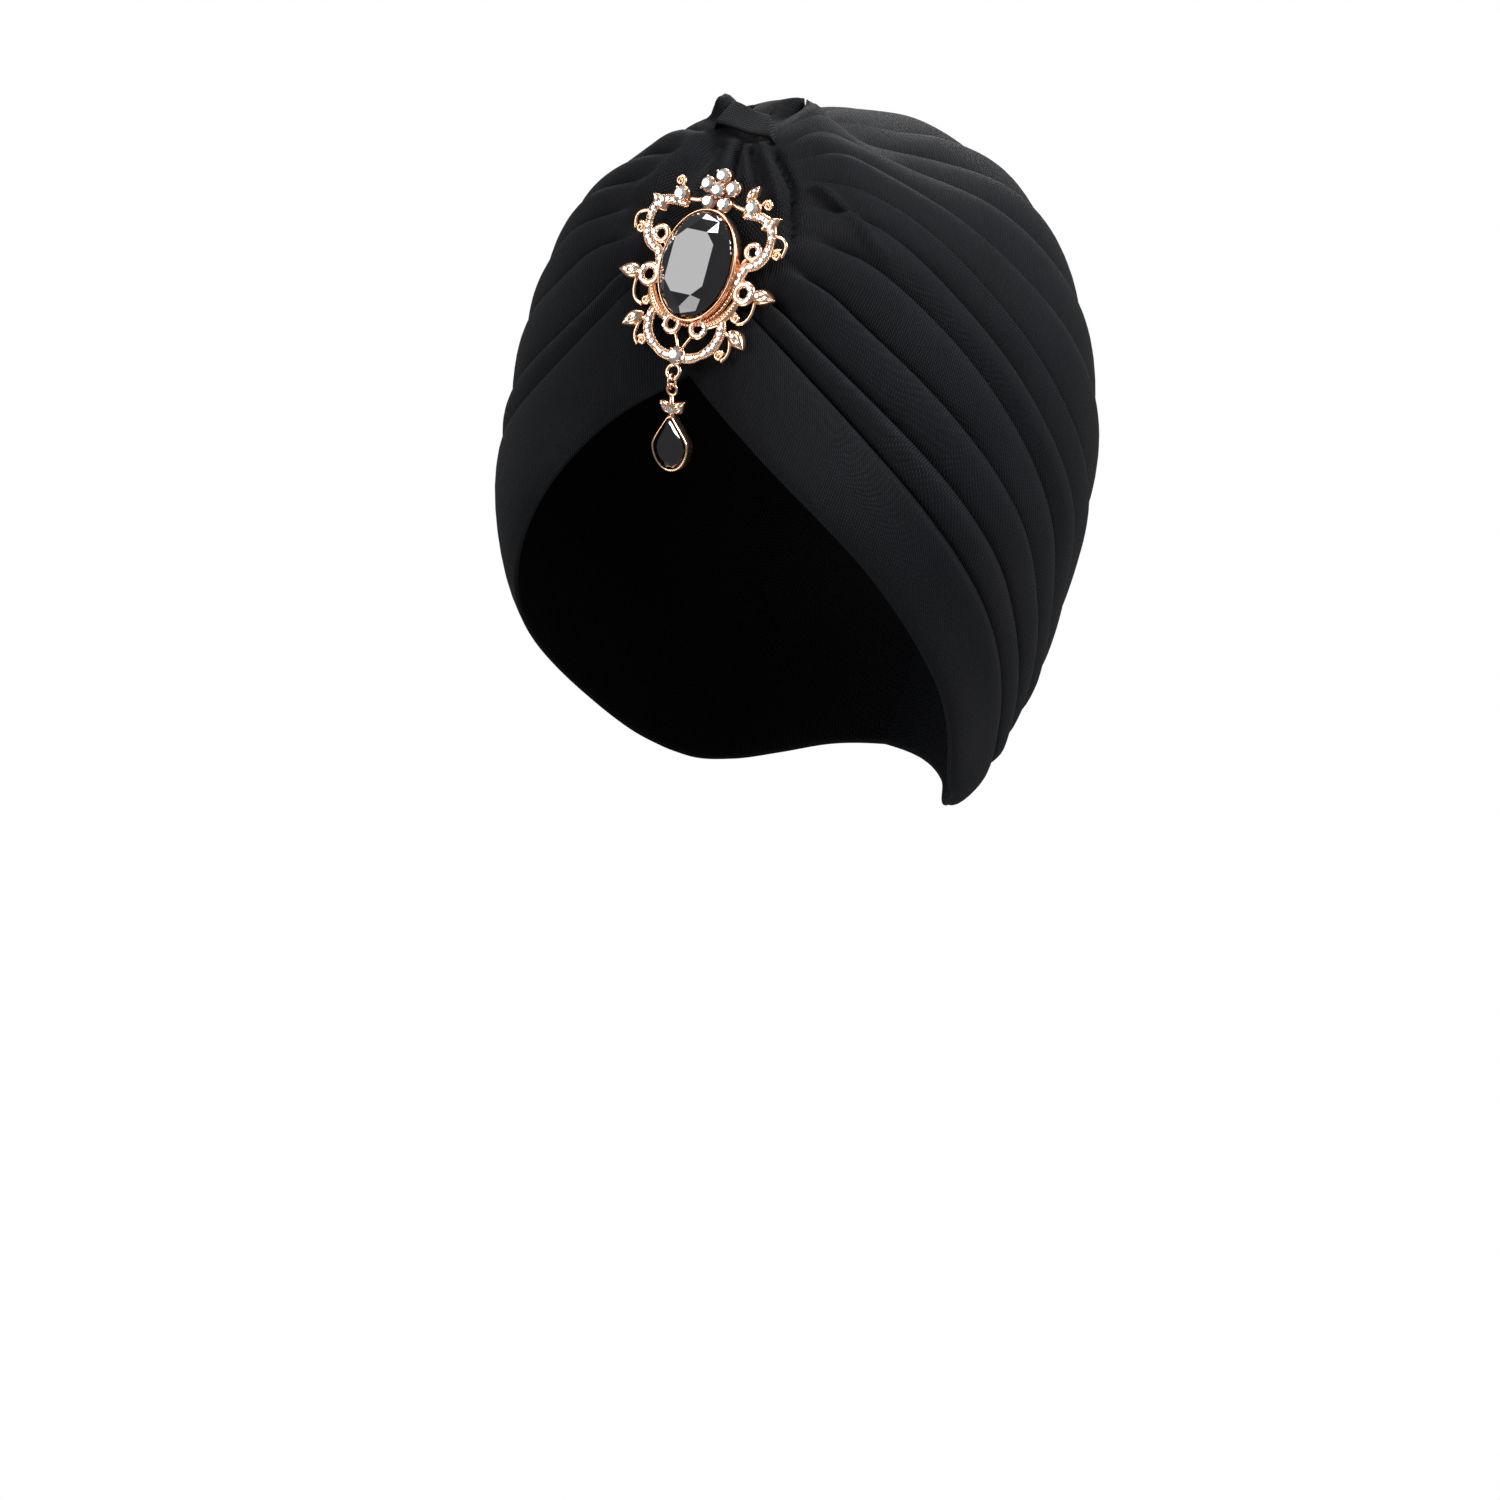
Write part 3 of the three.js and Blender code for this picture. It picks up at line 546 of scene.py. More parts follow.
strap = {
    "backLeft": (11.4, -7.4, 1.6), "frontLeft": (17.6, -7.9, 0.7),
    "backRight": (13.6, 1.8, 1.9), "frontRight": (20.3, 6.0, 0.9),
    "thick": 1.4, "across": 60, "around": 28, "sag": 0.5, "tuck": 2.2,
    "edgeRound": 0.3, "faceRound": 0.5, "narrowEnd": 0.12, "endFrom": 0.8, "waist": 0.07,
    "leftTuck": (0, 0.08), "rightTuck": (0.9, 1),
}


def strapPoints():  # a blunt ring at each step t, set between the two edges that join the corners
    t = np.linspace(0, 1, strap["across"])[:, None]
    a = np.linspace(0, turn, strap["around"], endpoint=False)[None, :]
    narrow = 1 - strap["narrowEnd"] * smooth(strap["endFrom"], 1, t) - strap["waist"] * np.sin(np.pi * t)
    middle = 0.5 + 0.5 * blunt(np.cos(a), strap["edgeRound"]) * narrow
    depth = strap["thick"] * 0.5 * (1 + blunt(np.sin(a), strap["faceRound"]))
    backLeft, frontLeft, backRight, frontRight = (
        np.array(strap[key], float) for key in ("backLeft", "frontLeft", "backRight", "frontRight"))
    back = backLeft + (backRight - backLeft) * t[..., None]
    front = frontLeft + (frontRight - frontLeft) * t[..., None]
    place = back + (front - back) * middle[..., None]
    ends = np.maximum(1 - smooth(*strap["leftTuck"], t), smooth(*strap["rightTuck"], t))
    direction = fromChart(place[..., 0], place[..., 1])
    ripple = strap["sag"] * np.sin(np.pi * middle) * np.sin(turn * t * 0.5)
    lift = place[..., 2] + depth - strap["tuck"] * ends - ripple + crownLoft(direction)
    return onForm(direction, lift)


strapGrid = strapPoints()
strapRound = np.concatenate([strapGrid, strapGrid[:, :1]], 1)
strapPlaces = clothPlaces(strapRound).reshape(*strapRound.shape[:2], 2)[:, :-1].reshape(-1, 2)
strapCloth = makePiece("strap_cloth", [tubePart(strapGrid)], clothFinish, "cap", uv=strapPlaces[:, ::-1])
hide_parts("front_band")


# The brooch, in its own plane: x to the wearer's left, y up, z out from the cloth, in mm

brooch = {
    "place": (1.3, -46.9, -30.1), "lean": 21.5, "roll": 4.5, "wireDepth": 1.3, "paveDepth": 1.9,
    "scrollFuller": 0.5, "leafRise": 0.5, "curlWire": 1.05, "topCurlWire": 1.0,
}
flower = {"y": 21.5, "ring": 4.3, "petals": 5, "plate": 3.4, "petalCup": 2.3, "heartCup": 2.0,
          "petalSeat": 2.2, "heartSeat": 2.8}
centreStone = {
    "halfWidth": 11, "halfHeight": 15, "tableWidth": 6.3, "tableHeight": 9.0,
    "cornerX": 0.52, "cornerY": 0.66, "tableHigh": 8.2, "starShare": 0.84, "starHigh": 7.1,
    "kiteShare": 0.95, "kiteHigh": 5.6, "girdleTop": 4.4, "girdleFoot": 3.6,
    "backShare": 0.72, "backHigh": 1.2,
}
cupWall = {"gap": 0.3, "thick": 0.9, "high": 4.0, "floor": 0.8}
cupBorder = {"out": 1.0, "beadsBelow": 2, "beadHigh": 1.5, "bead": 0.5,
             "wireBelow": 1.5, "wire": 1.1, "wireHigh": 1.3}
paveScrolls = (
    {"from": (9, 16.2), "bend": (20.5, 18.8), "to": (20, 9.5), "width": 2.5, "stones": 7},
    {"from": (20, 10), "bend": (20.2, 3.8), "to": (14.6, 2.2), "width": 2.5, "stones": 5},
    {"from": (15.4, 3), "bend": (12.2, 0), "to": (13.2, -4.5), "width": 2.6, "stones": 3},
    {"from": (14.2, -7), "bend": (12.8, -13), "to": (6.8, -15.9), "width": 2.5, "stones": 0},
    {"from": (11.2, -13.6), "bend": (13.4, -21), "to": (7, -24.4), "width": 2.7, "stones": 6},
    {"from": (7.4, -24.2), "bend": (4, -26.6), "to": (0, -25.6), "width": 2.3, "stones": 2},
)
wireScrolls = (
    {"from": (3.6, 19.2), "bend": (8.4, 17), "to": (12, 18.6), "width": 1.3},
    {"from": (20, 12.4), "bend": (26.4, 12.8), "to": (24.2, 7), "width": 1.1},
    {"from": (19.6, -6.5), "bend": (20.2, -13), "to": (15.6, -13.6), "width": 1.1},
    {"from": (10.8, -15), "bend": (13, -17.6), "to": (15.4, -17), "width": 1.5},
    {"from": (14.6, -17.8), "bend": (16.8, -22.4), "to": (13.8, -24.6), "width": 1.1},
    {"from": (3, -19), "bend": (1.2, -22), "to": (0, -25), "width": 1.1},
    {"from": (12, -2.6), "bend": (11.6, 3), "to": (14.2, 5.2), "width": 1.2},
)
eyelets = (
    {"x": 15.2, "y": 6.8, "outer": 3.0, "hole": 1.2, "stones": 1, "size": 1.15},
    {"x": 15.6, "y": -4.9, "outer": 3.7, "hole": 1.4, "stones": 3, "size": 0.85},
    {"x": 4.3, "y": -17.1, "outer": 3.2, "hole": 1.3, "stones": 2, "size": 0.8},
)
curls = (
    {"x": 22.6, "y": 7.4, "outer": 2.1, "begin": 60},
    {"x": 14.9, "y": -12, "outer": 2.0, "begin": 100},
    {"x": 12.8, "y": -23.2, "outer": 2.0, "begin": 20},
)
topCurls = (
    {"x": 15.7, "y": 20.3, "outer": 2.1, "begin": 190},
    {"x": -13.8, "y": 22.4, "outer": 2.1, "begin": 300},
)
leaves = (
    {"x": 18.4, "y": 15.4, "angle": 38, "length": 7, "width": 4.4},
    {"x": 21.9, "y": -4.9, "angle": -4, "length": 8, "width": 5},
    {"x": 17.2, "y": -17.9, "angle": -38, "length": 7.6, "width": 4.8},
)
topLeaf = {"x": 10.4, "y": 22.6, "angle": 62, "length": 6, "width": 3.6}
leafStones = {"places": (-0.14, 0.17), "sizes": (0.95, 0.7), "leafWidth": 4.6, "sunk": 0.35}
leafShape = {
    "tips": (0.02, 0.98), "lean": 0.85, "round": 0.9, "tipHigh": 0.55, "edgeDrop": 0.55,
    "groove": 0.22, "grooveWidth": 0.18, "rimDrop": 0.6, "rimPower": 12, "steps": 18, "acrossSteps": 15,
}
curlShape = {"turns": 1.45, "inward": 0.78, "thinner": 0.3, "lower": 0.1, "ballHigh": 0.65, "ball": 0.55}
scrollShape = {"ends": (0.06, 0.94), "round": 0.6, "tipWidth": 0.55, "tipDepth": 0.75,
               "steps": 26, "sides": 14}
scrollStones = {"radius": 0.92, "sunk": 0.2}
scrollGrains = {"aside": 0.42, "high": 1.55, "radius": 0.3}
plainBeads = {"high": 1.75, "radius": 0.55}
eyeletStones = {"halfSpread": 75, "sunk": 0.25}
eyeletGrains = {"out": 0.35, "count": 16, "sunk": 0.3, "radius": 0.3}
sideStone = {"x": 11.8, "y": 18.6, "cup": 2.6}
footStone = {"x": 0, "y": -25.6, "cup": 2.7, "claws": 2.2}
claw = {"ball": 0.42, "out": 2.15, "high": 2.75, "heartHigh": 3.3,
        "count": 4, "petalCount": 3, "begin": 0.785}
hangRing = {"y": -30.1, "radius": 2, "wire": 0.6}
seatShape = {"middle": 0.2, "top": 0.9, "edge": 0.35, "steps": 28}  # shares of the radius, and the edge in mm
fineness = {"wire": 20, "wireSides": 8, "curl": 40, "eyelet": 40, "rim": 96, "floor": 64, "border": 88,
            "ring": 40, "ringSides": 12}
grainFineness = {"rings": 3, "sides": 6}

# A small stone's rows, from its back over the girdle to its table, turned by a share of a facet
gemProfile = {"radius": (0.6, 1, 0.84, 0.55), "high": (-0.25, 0.1, 0.55, 1.0), "turned": (0, 0, 0.5, 0)}
gemHeight = 0.8  # of its radius

lean, roll = np.radians(brooch["lean"]), np.radians(brooch["roll"])
tip = np.array([[1, 0, 0], [0, np.sin(lean), -np.cos(lean)], [0, np.cos(lean), np.sin(lean)]])
spin = np.array([[np.cos(roll), np.sin(roll), 0], [-np.sin(roll), np.cos(roll), 0], [0, 0, 1]])
broochAxes = tip @ spin


def onBrooch(points):  # rolled and leaned into the brooch's plane on the cap
    return points @ broochAxes.T + np.array(brooch["place"])


def mirrored(row):  # the same row for the other side: x changed in sign, angles taken from 180
    turned = {key: (-row[key][0], row[key][1]) for key in ("from", "bend", "to") if key in row}
    turned.update({"x": -row["x"]} if "x" in row else {})
    turned.update({key: 180 - row[key] for key in ("angle", "begin") if key in row})
    return {**row, **turned}


def bothSides(rows):  # the rows, then their mirrored ones
    return [*rows, *map(mirrored, rows)]


def circle(x, y, radius, steps, high=None):  # a circle's points, or an ellipse's where it has another height
    a = np.linspace(0, turn, steps, endpoint=False)
    return np.stack([x + radius * np.cos(a), y + (high or radius) * np.sin(a)], -1)


def bezier(row, steps):  # a quadratic curve that leaves and arrives in line with its bend
    t = np.linspace(0, 1, steps)[:, None]
    a, b, c = (np.array(row[key], float) for key in ("from", "bend", "to"))
    return (1 - t) ** 2 * a + 2 * t * (1 - t) * b + t * t * c


def atHeight(path, high):  # a flat path as points at one height
    return np.concatenate([path, np.full((len(path), 1), high)], 1)


def beside(path, ahead):  # the flat path's unit vectors to its left
    ahead = unit(ahead)
    return np.stack([-ahead[:, 1], ahead[:, 0]], -1)


def roundSection(sides, power=0.8):  # a blunt ring 1 wide and 1 high that stands on z 0
    a = np.linspace(0, turn, sides, endpoint=False) + np.pi / sides
    return blunt(np.cos(a), power) / 2, 0.5 + 0.5 * blunt(np.sin(a), power)


def sweep(path, widths, depths, closed=False, sides=12):  # carries the blunt ring along a flat path
    path, count = np.asarray(path, float), len(path)
    ahead = np.roll(path, -1, 0) - np.roll(path, 1, 0) if closed else np.gradient(path, axis=0)
    across, high = roundSection(sides)
    widths, depths = np.broadcast_to(widths, count), np.broadcast_to(depths, count)
    flat = path[:, None, :] + beside(path, ahead)[:, None, :] * (across * widths[:, None])[..., None]
    points = np.concatenate([flat, (high * depths[:, None])[..., None]], -1)
    return gridPart(points, closeRows=closed, closeColumns=True, capFirst=not closed, capLast=not closed)


def copies(points, faces, places, heights):  # the same part at each place and height
    places = np.asarray(places, float).reshape(-1, 2)
    shift = np.concatenate([places, np.broadcast_to(heights, len(places))[:, None]], 1)
    whole = (points[None] + shift[:, None]).reshape(-1, 3)
    n = len(points)
    return whole, [[k * n + i for i in face] for k in range(len(places)) for face in faces]


def beads(places, heights, radius, rings=4, sides=8):  # a ball of rings and sides at each place, as one part
    a = np.linspace(0, np.pi, rings + 2)[1:-1][:, None]
    b = np.linspace(0, turn, sides, endpoint=False)[None, :]
    ball = np.stack([np.sin(a) * np.cos(b), np.sin(a) * np.sin(b), np.cos(a) + 0 * b], -1).reshape(-1, 3)
    ball = np.concatenate([ball, [[0, 0, 1], [0, 0, -1]]]) * radius
    top, bottom, last = rings * sides, rings * sides + 1, (rings - 1) * sides
    faces = gridFaces(rings, sides, closeColumns=True)
    faces += [[i, (i + 1) % sides, top] for i in range(sides)]
    faces += [[last + (i + 1) % sides, last + i, bottom] for i in range(sides)]
    return copies(ball, faces, places, heights)


def gemRow(radius, high, shift, sides):  # a ring turned by shift
    a = np.linspace(0, turn, sides, endpoint=False) + shift
    return np.stack([radius * np.cos(a), radius * np.sin(a), np.full(sides, high)], -1)


def gem(radius, high, sides=8):  # the profile's rings joined by flat facets
    profile = zip(*gemProfile.values())
    rows = np.stack([gemRow(out, up, turned * turn / sides, sides) for out, up, turned in profile])
    return halvedPart(tubePart(rows * np.array([radius, radius, high])))


def leafPart(x, y, angle, length, width, high):  # a pointed dome with a bell-shaped groove
    u = np.linspace(*leafShape["tips"], leafShape["steps"])[:, None]
    v = np.linspace(-1, 1, leafShape["acrossSteps"])[None, :]
    half = width / 2 * np.sin(np.pi * u ** leafShape["lean"]) ** leafShape["round"]
    groove = leafShape["groove"] * np.exp(-((v / leafShape["grooveWidth"]) ** 2))
    rim = 1 - np.abs(v) ** leafShape["rimPower"] * leafShape["rimDrop"]
    ends = leafShape["tipHigh"] + (1 - leafShape["tipHigh"]) * np.sin(np.pi * u)
    lift = high * (1 - leafShape["edgeDrop"] * v**4 - groove) * ends * rim
    top = np.stack([(u - 0.5) * length + 0 * v, half * v, lift], -1)
    under = top[:, ::-1].copy()
    under[..., 2] = 0
    points = np.concatenate([top, under], 1)
    a = np.radians(angle)
    turned = points.copy()
    turned[..., 0] = x + points[..., 0] * np.cos(a) - points[..., 1] * np.sin(a)
    turned[..., 1] = y + points[..., 0] * np.sin(a) + points[..., 1] * np.cos(a)
    return tubePart(turned)


def curlPart(row, wire, hand):  # a wire that winds evenly in to a small ball
    t = np.linspace(0, 1, fineness["curl"])
    a = np.radians(row["begin"]) + hand * t * turn * curlShape["turns"]
    r = (row["outer"] - wire / 2) * (1 - curlShape["inward"] * t)
    path = np.stack([row["x"] + r * np.cos(a), row["y"] + r * np.sin(a)], -1)
    widths, depths = wire * (1 - curlShape["thinner"] * t), brooch["wireDepth"] * (1 - curlShape["lower"] * t)
    ball = beads(path[-1:], curlShape["ballHigh"], curlShape["ball"])
    return [sweep(path, widths, depths, sides=fineness["wireSides"]), ball]


def disc(x, y, radius, depth):  # a seat: rings of a circle, its upper edge cut back
    middle, top = seatShape["middle"], seatShape["top"]
    profile = ((middle, 0), (1, 0), (1, depth - seatShape["edge"]), (top, depth), (middle, depth))
    rings = [atHeight(circle(x, y, radius * share, seatShape["steps"]), high) for share, high in profile]
    return tubePart(np.stack(rings))


def claws(x, y, out=claw["out"], high=claw["high"], count=claw["count"], begin=claw["begin"]):
    # Balls evenly round a stone
    a = np.arange(count) * turn / count + begin
    places = np.stack([x + out * np.cos(a), y + out * np.sin(a)], -1)
    return beads(places, high, claw["ball"])


def torusPart(radius, wire, centre, axes, steps=36, sides=10):  # a ring of round wire across two axes
    a = np.linspace(0, turn, steps, endpoint=False)[:, None]
    b = np.linspace(0, turn, sides, endpoint=False)[None, :]
    far = radius + wire * np.cos(b)
    across, up, out = (np.array(v, float) for v in axes)
    points = far[..., None] * (np.cos(a)[..., None] * across + np.sin(a)[..., None] * up)
    return gridPart(points + (wire * np.sin(b) + 0 * a)[..., None] * out + np.array(centre), True, True)


goldParts, stones = [], []


def setStones(places, sunk, radii):  # remembers small stones that sit so far below the pave's top
    stones.extend((place, brooch["paveDepth"] - sunk, radius) for place, radius in zip(places, radii))


swell = np.sin(np.pi * np.linspace(*scrollShape["ends"], scrollShape["steps"])) ** scrollShape["round"]
taper = scrollShape["tipWidth"] + (1 - scrollShape["tipWidth"]) * swell
paveDepths = brooch["paveDepth"] * (scrollShape["tipDepth"] + (1 - scrollShape["tipDepth"]) * taper)
for row in bothSides(paveScrolls):
    path = bezier(row, len(taper))
    widths = (row["width"] + brooch["scrollFuller"]) * taper
    goldParts.append(sweep(path, widths, paveDepths, sides=scrollShape["sides"]))
    if row["stones"]:
        picks = np.linspace(0, len(path) - 1, row["stones"] + 2)[1:-1].round().astype(int)
        setStones(path[picks], scrollStones["sunk"], [scrollStones["radius"]] * len(picks))
        edge = (beside(path, np.gradient(path, axis=0)) * (widths * scrollGrains["aside"])[:, None])[1:-1]
        grains = np.concatenate([path[1:-1] + edge, path[1:-1] - edge])
        goldParts.append(beads(grains, scrollGrains["high"], scrollGrains["radius"], **grainFineness))
    else:
        goldParts.append(beads(path[1:-1:2], plainBeads["high"], plainBeads["radius"], **grainFineness))
for row in bothSides(wireScrolls):
    path = bezier(row, fineness["wire"])
    goldParts.append(sweep(path, row["width"], brooch["wireDepth"], sides=fineness["wireSides"]))
for row in bothSides(eyelets):
    middle, wide = (row["outer"] + row["hole"]) / 2, row["outer"] - row["hole"]
    path = circle(row["x"], row["y"], middle, fineness["eyelet"])
    goldParts.append(sweep(path, wide, brooch["paveDepth"], closed=True))
    spread = np.linspace(-eyeletStones["halfSpread"], eyeletStones["halfSpread"], row["stones"] + 2)[1:-1]
    a = np.radians(90 - np.sign(row["x"]) * 90 + spread)
    places = np.stack([row["x"] + middle * np.cos(a), row["y"] + middle * np.sin(a)], -1)
    setStones(places, eyeletStones["sunk"], [row["size"]] * row["stones"])
    grains = circle(row["x"], row["y"], row["hole"] + eyeletGrains["out"], eyeletGrains["count"])
    high = brooch["paveDepth"] - eyeletGrains["sunk"]
    goldParts.append(beads(grains, high, eyeletGrains["radius"], **grainFineness))
for row in curls:
    goldParts += curlPart(row, brooch["curlWire"], 1) + curlPart(mirrored(row), brooch["curlWire"], -1)
for row, hand in zip(topCurls, (-1, 1)):
    goldParts += curlPart(row, brooch["topCurlWire"], hand)
for row in [*bothSides(leaves), topLeaf]:
    goldParts.append(leafPart(high=brooch["paveDepth"] + brooch["leafRise"], **row))
    a = np.radians(row["angle"])
    places = [(row["x"] + share * row["length"] * np.cos(a), row["y"] + share * row["length"] * np.sin(a))
              for share in leafStones["places"]]
    radii = [size * row["width"] / leafStones["leafWidth"] for size in leafStones["sizes"]]
    setStones(places, leafStones["sunk"] - brooch["leafRise"], radii)
for x in (-sideStone["x"], sideStone["x"]):
    goldParts += [disc(x, sideStone["y"], sideStone["cup"], flower["petalSeat"]), claws(x, sideStone["y"])]
goldParts.append(disc(footStone["x"], footStone["y"], footStone["cup"], flower["petalSeat"]))
goldParts.append(claws(footStone["x"], footStone["y"], footStone["claws"]))
goldParts.append(disc(0, flower["y"], flower["plate"], brooch["wireDepth"]))
goldParts.append(disc(0, flower["y"], flower["heartCup"], flower["heartSeat"]))
petalTurn = turn / flower["petals"]
heartBegin = np.pi / 2 + petalTurn / 2
goldParts.append(claws(0, flower["y"], high=claw["heartHigh"], count=flower["petals"], begin=heartBegin))
for i in range(flower["petals"]):
    a = np.pi / 2 + petalTurn * i
    x, y = flower["ring"] * np.cos(a), flower["y"] + flower["ring"] * np.sin(a)
    goldParts.append(disc(x, y, flower["petalCup"], flower["petalSeat"]))
    goldParts.append(claws(x, y, count=claw["petalCount"], begin=a - turn / 2 / claw["petalCount"]))

# The large stone's cup: an oval wall, its floor, and a beaded wire below
toWall = cupWall["gap"] + cupWall["thick"] / 2
rimWidth, rimHeight = centreStone["halfWidth"] + toWall, centreStone["halfHeight"] + toWall
rim = circle(0, 0, rimWidth, fineness["rim"], rimHeight)
goldParts.append(sweep(rim, cupWall["thick"], cupWall["high"], closed=True))
floorProfile = ((0.1, 0), (1, 0), (1, cupWall["floor"]), (0.1, cupWall["floor"]))
goldParts.append(tubePart(np.stack([
    atHeight(circle(0, 0, rimWidth * share, fineness["floor"], rimHeight * share), high)
    for share, high in floorProfile])))
border = circle(0, 0, rimWidth + cupBorder["out"], fineness["border"], rimHeight + cupBorder["out"])
beaded = border[border[:, 1] < cupBorder["beadsBelow"]]
goldParts.append(beads(beaded, cupBorder["beadHigh"], cupBorder["bead"]))
border = border[border[:, 1] < cupBorder["wireBelow"]]
border = border[np.argsort(-np.arctan2(border[:, 0], -border[:, 1]))]
goldParts.append(sweep(border, cupBorder["wire"], cupBorder["wireHigh"], sides=fineness["wireSides"]))

ringCentre = (0, hangRing["y"], brooch["paveDepth"] / 2)
goldParts.append(torusPart(
    hangRing["radius"], hangRing["wire"], ringCentre, np.eye(3), fineness["ring"], fineness["ringSides"]))

goldWork = makePiece("brooch_gold", [(onBrooch(p), f) for p, f in goldParts], goldFinish, "cap")
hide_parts("brooch_frame")

stoneParts = []
for place, high, size in stones:
    points, faces = gem(size, size * gemHeight)
    stoneParts.append((onBrooch(points + np.array([*place, high])), faces))
paveStones = makePiece("pave_stones", stoneParts, crystalFinish, "cap", shade=False)


# The large stone: an oval girdle, star and kite facets, and a long eight-cornered table

def ovalRow(at, share, high):  # points of the stone's oval at these angles, drawn in by a share
    x, y = centreStone["halfWidth"] * share * np.cos(at), centreStone["halfHeight"] * share * np.sin(at)
    return np.stack([x, y, np.full(len(at), high)], -1)


def midAngles(angles):  # halfway from each angle to the next
    return np.angle(np.exp(1j * angles) + np.exp(1j * np.roll(angles, -1)))


def ovalStone():  # rings of 8 table corners, 8 stars, 16 kites and three of 32, joined by flat facets
    cx, cy = centreStone["cornerX"], centreStone["cornerY"]
    table = np.array([(-cx, 1), (cx, 1), (1, cy), (1, -cy), (cx, -1), (-cx, -1), (-1, -cy), (-1, cy)])
    table = table * (centreStone["tableWidth"], centreStone["tableHeight"])
    corners = np.arctan2(table[:, 1] / centreStone["halfHeight"], table[:, 0] / centreStone["halfWidth"])
    between = midAngles(corners)
    both = np.stack([corners, between], -1).ravel()
    girdle = np.stack([both, midAngles(both)], -1).ravel()
    points = np.concatenate([
        atHeight(table, centreStone["tableHigh"]),
        ovalRow(between, centreStone["starShare"], centreStone["starHigh"]),
        ovalRow(both, centreStone["kiteShare"], centreStone["kiteHigh"]),
        ovalRow(girdle, 1, centreStone["girdleTop"]),
        ovalRow(girdle, 1, centreStone["girdleFoot"]),
        ovalRow(girdle, centreStone["backShare"], centreStone["backHigh"]),
    ])
    t, m, b, g, h, k = 0, 8, 16, 32, 64, 96  # where each ring starts
    faces = [list(range(8))]
    for i in range(8):
        j = (i + 1) % 8
        faces += [[t + i, m + i, t + j]]
        faces += [[t + i, m + (i - 1) % 8, b + 2 * i], [t + i, b + 2 * i, m + i]]
        faces += [[m + i, b + 2 * i, b + 2 * i + 1], [m + i, b + 2 * i + 1, b + (2 * i + 2) % 16]]
    for i in range(16):
        j, n = (i + 1) % 16, (2 * i + 2) % 32
        faces += [[b + i, g + 2 * i, g + 2 * i + 1], [b + i, g + 2 * i + 1, b + j]]
        faces += [[b + j, g + 2 * i + 1, g + n]]
    for i in range(32):
        j = (i + 1) % 32
        faces += [[g + i, h + i, h + j, g + j], [h + i, k + i, k + j, h + j]]
    return points, faces + [[k + i for i in range(31, -1, -1)]]


stonePoints, stoneFaces = ovalStone()
bigStone = makePiece("oval_stone", [(onBrooch(stonePoints), stoneFaces)], jetFinish, "cap", shade=False)
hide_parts("centre_stone")
print("brooch dressed")


# The drop, in mm from the pivot: x to the wearer's left, y back, z up

drop = {
    "pivot": np.array(frame["joints"][0]["pos_m"]) / mm,
    "link": 2.0, "linkWire": 0.42, "eye": 1.5, "eyeWire": 0.45, "gap": 0.3,
    "top": -10.2, "bottom": -26, "halfWidth": 6, "pinch": 0.55, "pinchFrom": -0.2, "depth": 3.4,
    "wall": 0.75, "floor": 0.8, "cupSides": 56, "stoneSides": 16,
    "stemHeights": (-7.6, -9.4), "stemWidths": (1.2, 1.5, 1.9, 2.2), "stemDepth": 1.7, "stemBack": 0.85,
    "intoEye": 0.1, "intoCup": 0.6,
}
dropLeaf = {"aside": 1.9, "y": -8, "angle": 38, "length": 5.4, "width": 3.6, "high": 1.6, "back": 0.8,
            "places": (-0.16, 0.16), "sizes": (0.72, 0.62), "stoneHigh": 1.3}
dropTopStone = {"y": -9.0, "radius": 0.95, "high": 0.75, "seat": 1.55}
linkCentre = hangRing["wire"] + drop["gap"] + drop["linkWire"] - drop["link"]
eyeCentre = linkCentre - drop["link"] + drop["linkWire"] + drop["gap"] + drop["eyeWire"] - drop["eye"]

# Inset and height of the cup's rows, from its back round the rim to its floor, and of the stone's
cupRows = ((3.0, 0), (0.35, 0), (0, 0.35), (0, 2.9), (0.12, 3.3), (0.38, 3.45), (0.64, 3.3),
           (drop["wall"], 2.9), (drop["wall"], drop["floor"]), (3.0, drop["floor"]))
pearRows = ((1.9, 1.1), (1.05, 2.6), (1.05, 3.2), (1.7, 4.1), (3.0, 5.1))


def pearOutline(inset, sides, high):  # an ellipse whose upper half narrows to a point
    a = turn * (np.arange(sides) + 0.5) / sides
    narrow = 1 - drop["pinch"] * smooth(drop["pinchFrom"], 1, np.sin(a))
    x = (drop["halfWidth"] - inset) * np.cos(a) * narrow
    z = (drop["top"] + drop["bottom"]) / 2 + ((drop["top"] - drop["bottom"]) / 2 - inset) * np.sin(a)
    return np.stack([x, np.full(sides, drop["depth"] / 2 - high), z], -1)


def pearPart(rows, sides):  # outlines joined from row to row
    return tubePart(np.stack([pearOutline(inset, sides, high) for inset, high in rows]))


def onDrop(part):  # moved from the pivot's frame to the cap's
    return part[0] + drop["pivot"], part[1]


def upright(part, back):  # turns a flat part to face forward
    points, faces = part
    return np.stack([points[:, 0], back - points[:, 2], points[:, 1]], -1), faces


